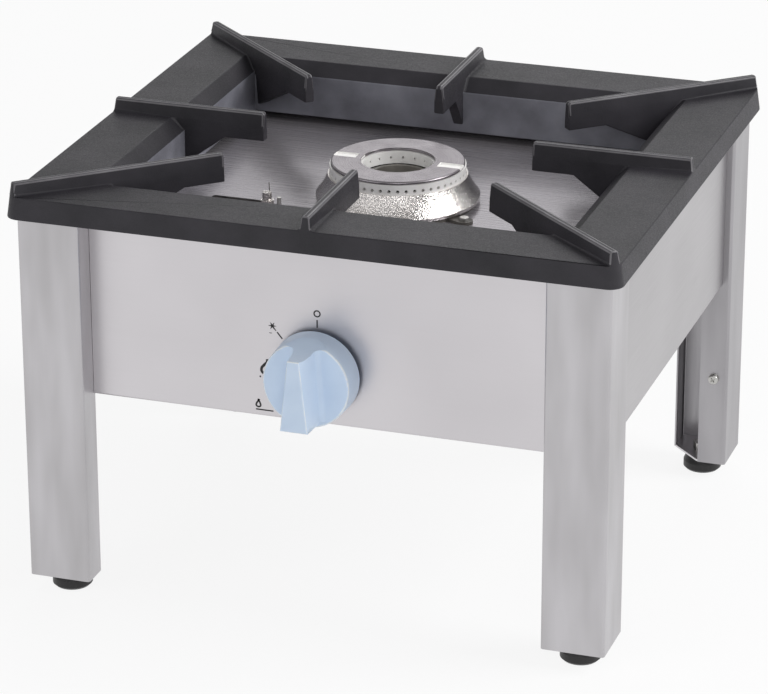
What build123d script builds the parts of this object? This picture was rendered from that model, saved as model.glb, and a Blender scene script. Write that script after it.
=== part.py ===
from build123d import *
import os
from math import atan2, cos, degrees, radians, sin

# Stock pot range: a low square gas stool. Millimetres. Origin on the floor below the burner's axis,
# +X to the right, +Y to the back, +Z up. The control knob faces -Y.

# ---------------------------------------------------------------- overall sizes
grate_width = 580.0  # outside of the grate, left to right
grate_depth = 530.0  # outside of the grate, front to back
grate_seat = 376.0  # floor to the underside of the grate's rim
overhang_side = 10.0  # grate past the legs, each side
overhang_front = 9.0  # grate past the legs, front and back
foot_height = 18.0  # floor to the legs' lower ends, feet screwed in

# ---------------------------------------------------------------- fits
weld_gap = 0.2  # between sheets that are joined by welds or screws
seat_gap = 0.3  # between a lift-off or moving piece and its seat
running_gap = 0.06  # radial clearance of a shaft or screw in its bore
screw_gap = 0.4  # radial clearance of a screw in a plain hole

# ---------------------------------------------------------------- sheet metal
leg_face = 60.0  # width of each outer face of a leg
leg_return = 28.0  # depth of each return flange of a leg
leg_sheet = 1.5
leg_bend = 3.0  # bend radius of the legs
panel_sheet = 1.2
panel_bend = 2.5
panel_flange = 14.0  # flanges round the panels
front_recess = 25.0  # panel behind the legs' front faces
side_recess = 8.0  # panel inside the legs' side faces
front_panel_bottom = 200.0
side_panel_bottom = 210.0
plate_sheet = 1.5
plate_inset = 1.0  # top plate's edge inside the legs' faces
well_floor = 336.0  # upper face of the well's floor
well_side_room = 25.5  # well's wall to the grate's skirt, left and right
well_front_room = 14.5  # the same, front and back
well_corner = 16.0
well_bend = 5.0
foot_plate_sheet = 2.0

frame_width = grate_width - 2 * overhang_side
frame_depth = grate_depth - 2 * overhang_front
half_width = frame_width / 2
half_depth = frame_depth / 2
leg_top = grate_seat - plate_sheet
front_face = -(half_depth - front_recess)  # outer face of the front panel, and minus the rear one's
side_face = half_width - side_recess  # outer face of the side panels
well_underside = well_floor - plate_sheet

# ---------------------------------------------------------------- levelling feet
foot_radius = 19.0
foot_edge = 2.5  # rounding of the foot's rim
foot_waist = 15.0  # radius of the foot's upper end
foot_stud_radius = 5.0
foot_stud_embed = 10.0
foot_stud_length = 40.0
foot_stud_chamfer = 1.0
foot_nut_height = 8.0
foot_nut_across = 17.0

# ---------------------------------------------------------------- grate casting
rim_height = 21.0  # rim from its seat to the frame's flat top
rim_draft = 3.0  # the rim leans in by this much over its height
rim_wall = 9.0
bar_width = 62.0  # rim's lower edge to the inner edge of the flat top
bar_slope = 14.0  # width of the slope inside the flat top
slope_drop = 12.0
skirt_wall = 8.5
skirt_drop = 33.0  # the inner skirt hangs this far below the rim's seat
web = 8.0  # thickness of the frame's top
grate_corner = 14.0
pad_size = 22.0  # cast pads that stand on the top plate over the legs
rib_rise = 13.0  # ribs above the flat top
rib_crest = 7.0  # width of a rib along its top
rib_foot = 10.0  # and where it stands on the flat top
rib_nose = 28.0  # height of a rib's free end
rib_flat = 40.0  # level part of a rib's underside
rib_tip_round = 3.0  # upper corner of a rib's free end
rib_heel_round = 3.0  # lower corner of a rib's free end
rib_knee_round = 14.0  # where a rib's underside starts to fall
rib_crest_bevel = 1.2  # long upper edges
mid_rib_reach = 133.0  # free ends of the left and right ribs from the centre
front_rib_reach = 126.0  # free ends of the front and rear ribs from the centre
corner_rib_x = 131.0  # free ends of the corner ribs
corner_rib_y = 120.0

rim_top = grate_seat + rim_height
rib_top = rim_top + rib_rise
skirt_in = bar_width + bar_slope  # inner face of the skirt from the rim's lower edge
skirt_bottom = grate_seat - skirt_drop
skirt_outside_x = grate_width - 2 * (skirt_in - skirt_wall)
skirt_outside_y = grate_depth - 2 * (skirt_in - skirt_wall)
well_width = skirt_outside_x + 2 * well_side_room
well_depth = skirt_outside_y + 2 * well_front_room

# ---------------------------------------------------------------- burner
burner_outer = 60.0  # outer wall of the casting's gas chamber
burner_inner = 27.0  # central air hole
burner_wall = 4.0
chamber_depth = 65.5  # closed bottom of the chamber to its open top
chamber_top = 361.5
base_ring_radius = 74.0  # rough cast ring that stands on the plate
base_ring_height = 4.5
ear_sheet = 3.0
ear_radius = 8.0
ear_circle = 88.0  # the hold-down screws' circle
ear_angles = (-27, 153)
burner_hole_gap = 4.0
boss_radius = 18.0  # boss that takes the mixing tube
boss_face = 70.0  # boss's end from the burner's axis
port_ring_radius = 64.75
port_ring_wall = 4.0
port_ring_height = 12.0
port_across = 2.8
port_count = 50
port_ring_foot = 3.0
inner_ring_radius = 37.0
inner_ring_wall = 3.5
inner_port_across = 2.4
inner_port_count = 18
inner_ring_lip = 0.5  # inner ring outside the central hole
inner_ring_rise = 2.0  # its foot slopes up by this much
cap_inset = 1.0  # cap's edge inside the port ring's face
cap_hole = 34.0
cap_height = 3.0
cap_bevel = 1.2
cap_lip = 3.0
cap_lip_wall = 2.5
notch_width = 12.0
notch_depth = 1.6
notch_length = 22.0
flare_overhang = 4.0  # polished flare's foot outside the base ring
flare_bearing = 3.0  # part of the base ring that carries the flare
flare_foot_height = 3.0
flare_lip = 1.75  # flare's top edge outside the port ring
flare_top = 364.0
flare_hollow = 0.8  # the flare's side is hollow by this much
mixer_axis = 310.0  # height of the mixing tube
mixer_radius = 15.0
mixer_bore = 11.5
mixer_collar_radius = 18.0
mixer_collar_length = 5.0
jet_reach = 37.0  # tap's outlet to the mouth of the mixing tube
flare_foot_radius = base_ring_radius + flare_overhang
flare_inside = base_ring_radius - flare_bearing
flare_top_radius = port_ring_radius + flare_lip
cap_radius = port_ring_radius - cap_inset
burner_hole = burner_outer + burner_hole_gap
chamber_bottom = chamber_top - chamber_depth

# ---------------------------------------------------------------- gas jet and air control
shutter_length = 22.0
shutter_wall = 1.5
shutter_window = 10.0
window_place = 13.0  # the window's middle from the sleeve's front end
bracket_gap = 12.0  # mouth of the mixing tube to the injector's bracket
bracket_sheet = 2.0
bracket_bend = 3.0
bracket_width = 44.0
bracket_foot = 20.0
bracket_below = 20.0  # bracket below the jet's axis
holder_radius = 8.0
holder_shoulder = 11.0
holder_shoulder_length = 6.0
holder_drop = 16.0
holder_reach = 4.0  # holder's end behind the bracket
jet_radius = 5.0
jet_length = 14.0
jet_bore = 0.75
jet_nose_radius = 3.5
jet_nose_taper = 12.0

# ---------------------------------------------------------------- gas tap and knob
knob_axis = 250.0  # height of the tap's axis
tap_radius = 14.0
tap_length = 62.0
tap_neck_radius = 9.0
tap_neck_length = 9.0
tap_flange_radius = 17.0
tap_flange = 3.0
tap_nut_across = 24.0
tap_nut_height = 3.5
magnet_radius = 10.0
magnet_length = 24.0
magnet_tail_radius = 7.0
outlet_setback = 44.0  # tap outlet behind the panel
outlet_radius = 8.0
outlet_height = 20.0
pilot_outlet_radius = 6.0
inlet_setback = 24.0
inlet_boss_radius = 11.0
inlet_boss_length = 26.0
spindle_radius = 4.0
spindle_flat = 1.2  # the spindle's flat below its round
spindle_front = 34.0  # spindle's end in front of the panel
spindle_embed = 20.0
bore_spare = 1.0  # bores run this much deeper than their pins
thrust_radius = 3.0
thrust_length = 26.0
thrust_room = 6.0
knob_push = 4.0
knob_gap = 5.5  # knob's back off the panel
knob_radius = 42.0
knob_disc = 27.0
knob_draft = 1.0
knob_grip = 33.0  # grip in front of the disc
grip_top = 40.0
grip_bottom = 33.0
grip_narrow = 10.0  # width of the grip's front at the pointer end
grip_wide = 26.0  # and at the tail
grip_root_top = 20.0  # the same widths where it leaves the disc
grip_root_bottom = 30.0
knob_wall = 3.0
knob_hollow = 20.0
knob_hub = 8.5
knob_hub_back = 7.0
knob_edge = 1.6
grip_edge = 1.0  # round the grip's front
grip_foot = 6.0  # fillet where the grip leaves the disc
scoop_radius = 60.0  # shallow scoop over the pointer end
scoop_height = 93.5  # scoop's centre above the knob's axis
scoop_front = 44.0  # scoop's centre in front of the knob's back

# ---------------------------------------------------------------- gas pipes
pipe_radius = 7.5
pipe_bore = 6.0
pipe_bend = 30.0
burner_pipe_radius = 5.0
burner_pipe_bore = 4.0
inlet_from_side = 100.0  # gas connection from the right legs' faces
inlet_thread_radius = 10.48
inlet_thread_length = 18.0
inlet_bore = 7.0
inlet_hex = 27.0
inlet_hex_length = 10.0
inlet_neck_radius = 12.0
inlet_nut_across = 31.0
inlet_nut_height = 5.0

# ---------------------------------------------------------------- pilot
pilot_x = -110.0
pilot_y = -60.0
pilot_radius = 4.5
pilot_height = 15.0
pilot_hood = 6.5
pilot_bracket_sheet = 1.5
pilot_bracket_width = 34.0
pilot_bracket_depth = 18.0
pilot_bracket_corner = 3.0
probe_spacing = 12.0
probe_radius = 2.0
probe_height = 26.0
pilot_tube_radius = 2.5
pilot_tube_entry = -166.0
pilot_tube_rise = 5.0
pilot_tube_drop = 20.0
lead_radius = 1.6
lead_drop = 55.0

# ---------------------------------------------------------------- screws
screw_radius = 2.5
screw_head_radius = 4.5
screw_head_height = 3.0
screw_length = 12.0
bonding_screw_radius = 3.0
bonding_head_radius = 5.5
bonding_head_height = 4.0
bonding_length = 14.0
bonding_z = 110.0
bonding_nut_across = 10.0
bonding_nut_height = 5.0

corners = {
    "front_left": (-1, -1),
    "front_right": (1, -1),
    "rear_left": (-1, 1),
    "rear_right": (1, 1),
}
leg_x = half_width - leg_face / 2
leg_y = half_depth - leg_face / 2
bonding_x = half_width - leg_return / 2
bonding_y = half_depth - leg_face  # front face of the rear leg's return flange
inlet_x = half_width - inlet_from_side
outlet_y = front_face + outlet_setback
mixer_mouth = -outlet_y - jet_reach  # mouth of the mixing tube from the burner's axis

os.makedirs("parts", exist_ok=True)


def save(part, name):
    """Label a finished piece and write it under its own name."""
    part.label = name
    export_step(part, f"parts/{name}.step")


# ================================================================ legs
# One folded strip: return flange, front face, side face, return flange.
for corner, (sx, sy) in corners.items():
    with BuildPart() as leg:
        with BuildSketch(Plane.XY.offset(foot_height)):
            with BuildLine():
                FilletPolyline(
                    (sx * (half_width - leg_face), sy * (half_depth - leg_return)),
                    (sx * (half_width - leg_face), sy * half_depth),
                    (sx * half_width, sy * half_depth),
                    (sx * half_width, sy * (half_depth - leg_face)),
                    (sx * (half_width - leg_return), sy * (half_depth - leg_face)),
                    radius=leg_bend,
                )
                offset(amount=leg_sheet, side=Side.RIGHT if sx * sy > 0 else Side.LEFT)
            make_face()
        extrude(amount=leg_top - foot_height)
        if corner == "rear_right":
            with Locations(Plane((bonding_x, bonding_y, bonding_z), z_dir=(0, -1, 0))):
                Hole(bonding_screw_radius + screw_gap, depth=2 * leg_sheet)
    save(leg.part, f"leg_{corner}")

    # plate that closes the leg's lower end, cut away at the open inner corner
    plate_side = leg_face - 2 * (leg_sheet + weld_gap)
    with BuildPart() as foot_plate:
        with BuildSketch(Plane.XY.offset(foot_height)):
            with Locations((sx * leg_x, sy * leg_y)):
                RectangleRounded(plate_side, plate_side, leg_bend)
            inner = (sx * (leg_x - plate_side / 2), sy * (leg_y - plate_side / 2))
            cut = plate_side - leg_return
            with BuildLine():
                Polyline(
                    inner,
                    (inner[0] + sx * cut, inner[1]),
                    (inner[0], inner[1] + sy * cut),
                    close=True,
                )
            make_face(mode=Mode.SUBTRACT)
            with Locations((sx * leg_x, sy * leg_y)):
                Circle(foot_stud_radius + screw_gap, mode=Mode.SUBTRACT)
        extrude(amount=foot_plate_sheet)
    save(foot_plate.part, f"foot_plate_{corner}")

    # moulded foot: a turned shape with a rounded rim
    with BuildPart() as foot_pad:
        with BuildSketch(Plane.XZ.offset(-sy * leg_y)):
            with BuildLine():
                Polyline(
                    (sx * leg_x, 0),
                    (sx * leg_x + foot_radius - foot_edge, 0),
                    (sx * leg_x + foot_radius, foot_edge),
                    (sx * leg_x + foot_radius, foot_height / 2),
                    (sx * leg_x + foot_waist, foot_height - seat_gap),
                    (sx * leg_x, foot_height - seat_gap),
                    close=True,
                )
            make_face()
        revolve(axis=Axis((sx * leg_x, sy * leg_y, 0), (0, 0, 1)))
        with Locations((sx * leg_x, sy * leg_y, foot_height - seat_gap)):
            Hole(foot_stud_radius, depth=foot_stud_embed)
    save(foot_pad.part, f"foot_pad_{corner}")

    # threaded stud, moulded into the foot
    with BuildPart() as foot_stud:
        with BuildSketch(Plane.XY.offset(foot_height - seat_gap - foot_stud_embed)):
            with Locations((sx * leg_x, sy * leg_y)):
                Circle(foot_stud_radius)
        extrude(amount=foot_stud_length)
        chamfer(foot_stud.faces().sort_by(Axis.Z)[-1].edges(), foot_stud_chamfer)
    save(foot_stud.part, f"foot_stud_{corner}")

# nuts welded on the four foot plates
with BuildPart() as foot_nuts:
    with BuildSketch(Plane.XY.offset(foot_height + foot_plate_sheet)):
        with Locations([(sx * leg_x, sy * leg_y) for sx, sy in corners.values()]):
            RegularPolygon(foot_nut_across / 2, 6, major_radius=False)
            Circle(foot_stud_radius + running_gap, mode=Mode.SUBTRACT)
    extrude(amount=foot_nut_height)
save(foot_nuts.part, "foot_nuts")


# ================================================================ panels
def folded_panel(width, bottom, middle, inward):
    """A panel with its outer face through a point of the floor plan, its flanges turned inwards."""
    along = inward.cross(Vector(0, 0, 1))
    section = Plane(origin=middle - along * (width / 2), x_dir=inward, z_dir=along)
    flange_low = bottom + 2 * panel_bend
    flange_high = leg_top - 2 * panel_bend
    with BuildPart(mode=Mode.PRIVATE) as panel:
        with BuildSketch(section):
            with BuildLine():
                FilletPolyline(
                    (panel_flange, bottom),
                    (0, bottom),
                    (0, leg_top),
                    (panel_flange, leg_top),
                    radius=panel_bend,
                )
                offset(amount=panel_sheet, side=Side.RIGHT)
            make_face()
        extrude(amount=width)
        with BuildSketch(section, section.offset(width - panel_sheet)):
            with Locations((panel_flange / 2, (flange_low + flange_high) / 2)):
                Rectangle(panel_flange, flange_high - flange_low)
        extrude(amount=panel_sheet)
    return panel.part


front_width = 2 * (half_width - leg_face - weld_gap)
side_width = 2 * (half_depth - leg_face - weld_gap)

with BuildPart() as front_panel:
    add(folded_panel(front_width, front_panel_bottom, Vector(0, front_face, 0), Vector(0, 1, 0)))
    with Locations(Plane((0, front_face, knob_axis), z_dir=(0, -1, 0))):
        Hole(tap_neck_radius + screw_gap, depth=2 * panel_sheet)
save(front_panel.part, "front_panel")

with BuildPart() as rear_panel:
    add(folded_panel(front_width, front_panel_bottom, Vector(0, -front_face, 0), Vector(0, -1, 0)))
    with Locations(Plane((inlet_x, -front_face, knob_axis), z_dir=(0, 1, 0))):
        Hole(inlet_neck_radius + screw_gap, depth=2 * panel_sheet)
save(rear_panel.part, "rear_panel")

for side_name, side in (("left", -1), ("right", 1)):
    face_point = Vector(side * side_face, 0, 0)
    inward = Vector(-side, 0, 0)
    with BuildPart() as side_panel:
        add(folded_panel(side_width, side_panel_bottom, face_point, inward))
    save(side_panel.part, f"side_panel_{side_name}")


# ================================================================ top plate
ear_points = [(ear_circle * cos(radians(a)), ear_circle * sin(radians(a))) for a in ear_angles]
bracket_face = -(mixer_mouth + bracket_gap)  # rear face of the injector's bracket
bracket_screw_y = bracket_face - bracket_sheet - bracket_foot / 2
bracket_screw_points = [(x * bracket_width / 4, bracket_screw_y) for x in (-1, 1)]
probe_x = pilot_x + probe_spacing

def well_block(width, depth, corner, bottom, bend):
    """The well's rounded shape as a block that reaches up to the grate's seat."""
    with BuildPart(mode=Mode.PRIVATE) as block:
        with BuildSketch(Plane.XY.offset(bottom)):
            RectangleRounded(width, depth, corner)
        extrude(amount=grate_seat - bottom)
        fillet(block.faces().sort_by(Axis.Z)[0].edges(), bend)
    return block.part


well_outside = well_block(
    well_width + 2 * plate_sheet,
    well_depth + 2 * plate_sheet,
    well_corner + plate_sheet,
    well_underside,
    well_bend + plate_sheet,
)
well_inside = well_block(well_width, well_depth, well_corner, well_floor, well_bend)
with BuildPart() as top_plate:
    with BuildSketch(Plane.XY.offset(leg_top)):
        RectangleRounded(frame_width - 2 * plate_inset, frame_depth - 2 * plate_inset, leg_bend)
    extrude(amount=plate_sheet)
    add(well_outside)
    add(well_inside, mode=Mode.SUBTRACT)
    with BuildSketch(Plane.XY.offset(well_underside)):
        Circle(burner_hole)
        with Locations(*ear_points):
            Circle(screw_radius + screw_gap)
        with Locations(*bracket_screw_points):
            Circle(screw_radius + screw_gap)
        with Locations((pilot_tube_entry, pilot_y)):
            Circle(pilot_tube_radius + screw_gap)
        with Locations((probe_x, pilot_y)):
            Circle(lead_radius + screw_gap)
    extrude(amount=plate_sheet, mode=Mode.SUBTRACT)
save(top_plate.part, "top_plate")


# ================================================================ grate
rim_lean = degrees(atan2(rim_draft, rim_height))
with BuildPart() as rib_envelope:
    with BuildSketch(Plane.XY.offset(grate_seat)):
        RectangleRounded(grate_width, grate_depth, grate_corner)
    extrude(amount=rim_height + rib_rise, taper=rim_lean)
    with BuildSketch(Plane.XY.offset(skirt_bottom)):
        Rectangle(grate_width - 2 * rim_wall, grate_depth - 2 * rim_wall)
    extrude(amount=skirt_drop)


def rib(free_end, run, reach, root_run):
    """A rib from its free end outwards, its outer end flush with the leaning rim."""
    up = Vector(0, 0, 1)
    side = Plane(origin=free_end, x_dir=run, z_dir=run.cross(up))
    across = Plane(origin=free_end, x_dir=up.cross(run), z_dir=run)
    heel = rib_top - rib_nose
    with BuildPart(mode=Mode.PRIVATE) as casting:
        with BuildSketch(side) as outline:
            with BuildLine():
                Polyline(
                    (0, rib_top),
                    (0, heel),
                    (rib_flat, heel),
                    (root_run, skirt_bottom + skirt_wall),
                    (root_run + skirt_wall / 2, rim_top - slope_drop - web / 2),
                    (reach - rim_wall, rim_top - web / 2),
                    (reach, rim_top),
                    (reach, rib_top),
                    close=True,
                )
            make_face()
            free_corners = outline.vertices().group_by(Axis.X)[0].sort_by(Axis.Y)
            knee = outline.vertices().group_by(Axis.X)[1]
            fillet(free_corners[-1], rib_tip_round)
            fillet(free_corners[0], rib_heel_round)
            fillet(knee, rib_knee_round)
        extrude(amount=rib_foot / 2, both=True)
        # drafted sides above the flat top
        with BuildSketch(across):
            with BuildLine():
                Polyline(
                    (-rib_foot / 2, rim_top),
                    (-rib_crest / 2, rib_top),
                    (rib_crest / 2, rib_top),
                    (rib_foot / 2, rim_top),
                    (rib_foot / 2, skirt_bottom),
                    (-rib_foot / 2, skirt_bottom),
                    close=True,
                )
            make_face()
        extrude(amount=reach, mode=Mode.INTERSECT)
        crest = casting.faces().filter_by(Axis.Z).sort_by(Axis.Z)[-1]
        chamfer(crest.edges().filter_by(GeomType.LINE).filter_by(Axis.Z, reverse=True), rib_crest_bevel)
        add(rib_envelope.part, mode=Mode.INTERSECT)
    return casting.part


with BuildPart() as grate:
    # rim and flat top, leaning in with the casting's draft
    with BuildSketch(Plane.XY.offset(grate_seat)):
        RectangleRounded(grate_width, grate_depth, grate_corner)
    extrude(amount=rim_height, taper=rim_lean)
    # inner skirt
    with BuildSketch(Plane.XY.offset(skirt_bottom)):
        RectangleRounded(skirt_outside_x, skirt_outside_y, skirt_wall)
    extrude(amount=skirt_drop + web)
    # hollow underside between the rim and the skirt
    with BuildSketch(Plane.XY.offset(grate_seat)):
        RectangleRounded(grate_width - 2 * rim_wall, grate_depth - 2 * rim_wall, grate_corner / 2)
        RectangleRounded(skirt_outside_x, skirt_outside_y, skirt_wall, mode=Mode.SUBTRACT)
    extrude(amount=rim_height - web, mode=Mode.SUBTRACT)
    # opening inside the skirt, and the slope that leads down to it
    with BuildSketch(Plane.XY.offset(skirt_bottom)):
        Rectangle(grate_width - 2 * skirt_in, grate_depth - 2 * skirt_in)
    extrude(amount=rim_top - skirt_bottom, mode=Mode.SUBTRACT)
    with BuildSketch(Plane.XY.offset(rim_top - slope_drop)):
        Rectangle(grate_width - 2 * skirt_in, grate_depth - 2 * skirt_in)
    extrude(amount=slope_drop, taper=-degrees(atan2(bar_slope, slope_drop)), mode=Mode.SUBTRACT)
    # pads over the legs
    with BuildSketch(Plane.XY.offset(grate_seat)):
        with Locations([(sx * leg_x, sy * leg_y) for sx, sy in corners.values()]):
            Rectangle(pad_size, pad_size)
    extrude(amount=rim_height - web / 2)
    # ribs from the middle of each side
    for run, reach, half in (
        (Vector(1, 0, 0), mid_rib_reach, grate_width / 2),
        (Vector(-1, 0, 0), mid_rib_reach, grate_width / 2),
        (Vector(0, 1, 0), front_rib_reach, grate_depth / 2),
        (Vector(0, -1, 0), front_rib_reach, grate_depth / 2),
    ):
        add(rib(run * reach, run, half - reach, half - skirt_in - reach))
    # ribs from the corners
    for sx, sy in corners.values():
        free_end = Vector(sx * corner_rib_x, sy * corner_rib_y, 0)
        span = Vector(sx * grate_width / 2, sy * grate_depth / 2, 0) - free_end
        run = span.normalized()
        root_run = min(
            (grate_width / 2 - skirt_in - corner_rib_x) / abs(run.X),
            (grate_depth / 2 - skirt_in - corner_rib_y) / abs(run.Y),
        )
        add(rib(free_end, run, span.length, root_run))
save(grate.part, "grate")


# ================================================================ burner
mixer_plane = Plane((0, -mixer_mouth, mixer_axis), z_dir=(0, 1, 0))
boss_plane = Plane((0, -boss_face, mixer_axis), z_dir=(0, 1, 0))
base_ring_top = well_floor + base_ring_height
with BuildPart() as burner_body:
    # ring-shaped gas chamber, open at the top, round the central air hole
    with BuildSketch(Plane.XZ):
        with BuildLine():
            Polyline(
                (burner_inner, chamber_bottom),
                (burner_outer - burner_wall, chamber_bottom),
                (burner_outer, chamber_bottom + burner_wall),
                (burner_outer, well_floor),
                (base_ring_radius, well_floor),
                (base_ring_radius, base_ring_top),
                (burner_outer, base_ring_top),
                (burner_outer, chamber_top),
                (burner_outer - burner_wall, chamber_top),
                (burner_outer - burner_wall, chamber_bottom + 2 * burner_wall),
                (burner_outer - 2 * burner_wall, chamber_bottom + burner_wall),
                (burner_inner + burner_wall, chamber_bottom + burner_wall),
                (burner_inner + burner_wall, chamber_top),
                (burner_inner, chamber_top),
                close=True,
            )
        make_face()
    revolve(axis=Axis.Z)
    # ears for the hold-down screws
    with BuildSketch(Plane.XY.offset(well_floor)):
        for angle in ear_angles:
            with Locations(Rotation(0, 0, angle)):
                with Locations(((burner_outer + ear_circle) / 2, 0)):
                    SlotOverall(ear_circle - burner_outer + 2 * ear_radius, 2 * ear_radius)
        Circle(burner_outer - burner_wall / 2, mode=Mode.SUBTRACT)
        with Locations(*ear_points):
            Circle(screw_radius + screw_gap, mode=Mode.SUBTRACT)
    extrude(amount=ear_sheet)
    # boss for the mixing tube, bored through into the chamber
    with BuildSketch(boss_plane):
        Circle(boss_radius)
    extrude(amount=boss_face - burner_outer + burner_wall / 2)
    with BuildSketch(boss_plane):
        Circle(mixer_bore)
    extrude(amount=boss_face - burner_outer + 3 * burner_wall, mode=Mode.SUBTRACT)
save(burner_body.part, "burner_body")

# tube in which gas and air mix
with BuildPart() as mixing_tube:
    with BuildSketch(mixer_plane):
        Circle(mixer_radius)
    extrude(amount=mixer_mouth - boss_face)
    with BuildSketch(boss_plane):
        Circle(mixer_collar_radius)
    extrude(amount=-mixer_collar_length)
    with BuildSketch(mixer_plane):
        Circle(mixer_bore)
    extrude(amount=mixer_mouth - boss_face, mode=Mode.SUBTRACT)
save(mixing_tube.part, "mixing_tube")

# polished flare round the chamber: it stands on the base ring and its top edge surrounds the port ring
flare_foot = base_ring_top + seat_gap
flare_ledge = chamber_top - seat_gap
flare_shoulder = flare_foot + flare_foot_height
with BuildPart() as burner_skirt:
    with BuildSketch(Plane.XZ):
        with BuildLine():
            flare = ThreePointArc(
                (flare_foot_radius, flare_shoulder),
                (
                    (flare_foot_radius + flare_top_radius) / 2 - flare_hollow,
                    (flare_shoulder + flare_top) / 2 - flare_hollow,
                ),
                (flare_top_radius, flare_top),
            )
            Polyline(
                flare @ 1,
                (port_ring_radius + seat_gap, flare_top),
                (port_ring_radius + seat_gap, flare_ledge),
                (burner_outer + screw_gap, flare_ledge),
                (burner_outer + screw_gap, flare_ledge - burner_wall),
                (flare_inside, flare_foot),
                (flare_foot_radius, flare_foot),
                flare @ 0,
            )
        make_face()
    revolve(axis=Axis.Z)
save(burner_skirt.part, "burner_skirt")

# outer ring with its row of flame ports
ring_base = chamber_top
port_height = ring_base + (port_ring_foot + port_ring_height) / 2


def port_cutter(across, radius, wall):
    """A four-sided bar along +X that cuts one port through a ring's wall."""
    with BuildPart(mode=Mode.PRIVATE) as cutter:
        with BuildSketch(Plane((radius - 2 * wall, 0, port_height), x_dir=(0, 0, 1), z_dir=(1, 0, 0))):
            Rectangle(across, across)
        extrude(amount=3 * wall)
    return cutter.part


with BuildPart() as outer_port_ring:
    with BuildSketch(Plane.XZ):
        with BuildLine():
            Polyline(
                (burner_outer - burner_wall, ring_base),
                (port_ring_radius, ring_base),
                (port_ring_radius, ring_base + port_ring_height),
                (port_ring_radius - port_ring_wall, ring_base + port_ring_height),
                (port_ring_radius - port_ring_wall, ring_base + port_ring_foot),
                (burner_outer - burner_wall, ring_base + port_ring_foot),
                close=True,
            )
        make_face()
    revolve(axis=Axis.Z)
    with PolarLocations(0, port_count, start_angle=180 / port_count):
        add(port_cutter(port_across, port_ring_radius, port_ring_wall), mode=Mode.SUBTRACT)
save(outer_port_ring.part, "outer_port_ring")

# inner ring with its smaller ports, its foot sloping down to the central hole
with BuildPart() as inner_port_ring:
    with BuildSketch(Plane.XZ):
        with BuildLine():
            Polyline(
                (burner_inner + inner_ring_lip, ring_base),
                (inner_ring_radius, ring_base),
                (inner_ring_radius, ring_base + port_ring_height),
                (inner_ring_radius - inner_ring_wall, ring_base + port_ring_height),
                (inner_ring_radius - inner_ring_wall, ring_base + port_ring_foot),
                (burner_inner + inner_ring_lip, ring_base + port_ring_foot - inner_ring_rise),
                close=True,
            )
        make_face()
    revolve(axis=Axis.Z)
    with PolarLocations(0, inner_port_count, start_angle=180 / inner_port_count):
        add(port_cutter(inner_port_across, inner_ring_radius, inner_ring_wall), mode=Mode.SUBTRACT)
save(inner_port_ring.part, "inner_port_ring")

# cap: a bevelled ring that covers the gas chamber, with two centring lips and two notches
cap_base = ring_base + port_ring_height + seat_gap
cap_top = cap_base + cap_height
outer_lip = port_ring_radius - port_ring_wall - screw_gap
inner_lip = inner_ring_radius + screw_gap
with BuildPart() as burner_cap:
    with BuildSketch(Plane.XZ):
        with BuildLine():
            Polyline(
                (cap_hole, cap_base),
                (inner_lip, cap_base),
                (inner_lip, cap_base - cap_lip),
                (inner_lip + cap_lip_wall, cap_base - cap_lip),
                (inner_lip + cap_lip_wall, cap_base),
                (outer_lip - cap_lip_wall, cap_base),
                (outer_lip - cap_lip_wall, cap_base - cap_lip),
                (outer_lip, cap_base - cap_lip),
                (outer_lip, cap_base),
                (cap_radius, cap_base),
                (cap_radius, cap_top - cap_bevel),
                (cap_radius - cap_bevel, cap_top),
                (cap_hole + cap_bevel, cap_top),
                (cap_hole, cap_top - cap_bevel),
                close=True,
            )
        make_face()
    revolve(axis=Axis.Z)
    notch_middle = cap_radius - cap_bevel - notch_length / 2
    with BuildSketch(Plane.XY.offset(cap_top)):
        with Locations((notch_middle, 0), (-notch_middle, 0)):
            Rectangle(notch_length, notch_width)
    extrude(amount=-notch_depth, mode=Mode.SUBTRACT)
save(burner_cap.part, "burner_cap")


def screws_down(name, points, seat):
    """Hexagon-head screws with their heads on a seat, one group of separate solids."""
    with BuildPart() as screws:
        with BuildSketch(Plane.XY.offset(seat)):
            with Locations(*points):
                RegularPolygon(screw_head_radius, 6)
        extrude(amount=screw_head_height)
        with BuildSketch(Plane.XY.offset(seat)):
            with Locations(*points):
                Circle(screw_radius)
        extrude(amount=-screw_length)
    save(screws.part, name)


screws_down("burner_screws", ear_points, well_floor + ear_sheet)

# ================================================================ gas jet and air control
# sleeve on the mouth of the mixing tube
with BuildPart() as air_shutter:
    with BuildSketch(mixer_plane):
        Circle(mixer_radius + running_gap + shutter_wall)
        Circle(mixer_radius + running_gap, mode=Mode.SUBTRACT)
    extrude(amount=shutter_length)
    window_plane = Plane((0, -mixer_mouth + window_place, mixer_axis), z_dir=(1, 0, 0))
    with Locations(window_plane):
        Cylinder(shutter_window / 2, 4 * mixer_radius, mode=Mode.SUBTRACT)
save(air_shutter.part, "air_shutter")

# angle bracket under the plate
bracket_low = mixer_axis - bracket_below
with BuildPart() as injector_bracket:
    with BuildSketch(Plane.YZ.offset(-bracket_width / 2)):
        with BuildLine():
            FilletPolyline(
                (bracket_face, bracket_low),
                (bracket_face, well_underside),
                (bracket_face - bracket_foot, well_underside),
                radius=bracket_bend,
            )
            offset(amount=bracket_sheet, side=Side.LEFT)
        make_face()
    extrude(amount=bracket_width)
    with Locations(Plane((0, bracket_face, mixer_axis), z_dir=(0, 1, 0))):
        Hole(holder_radius + running_gap, depth=2 * bracket_sheet)
    with Locations(*[(x, y, well_underside) for x, y in bracket_screw_points]):
        Hole(screw_radius + screw_gap, depth=2 * bracket_sheet)
save(injector_bracket.part, "injector_bracket")
screws_down("bracket_screws", bracket_screw_points, well_floor)

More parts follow.
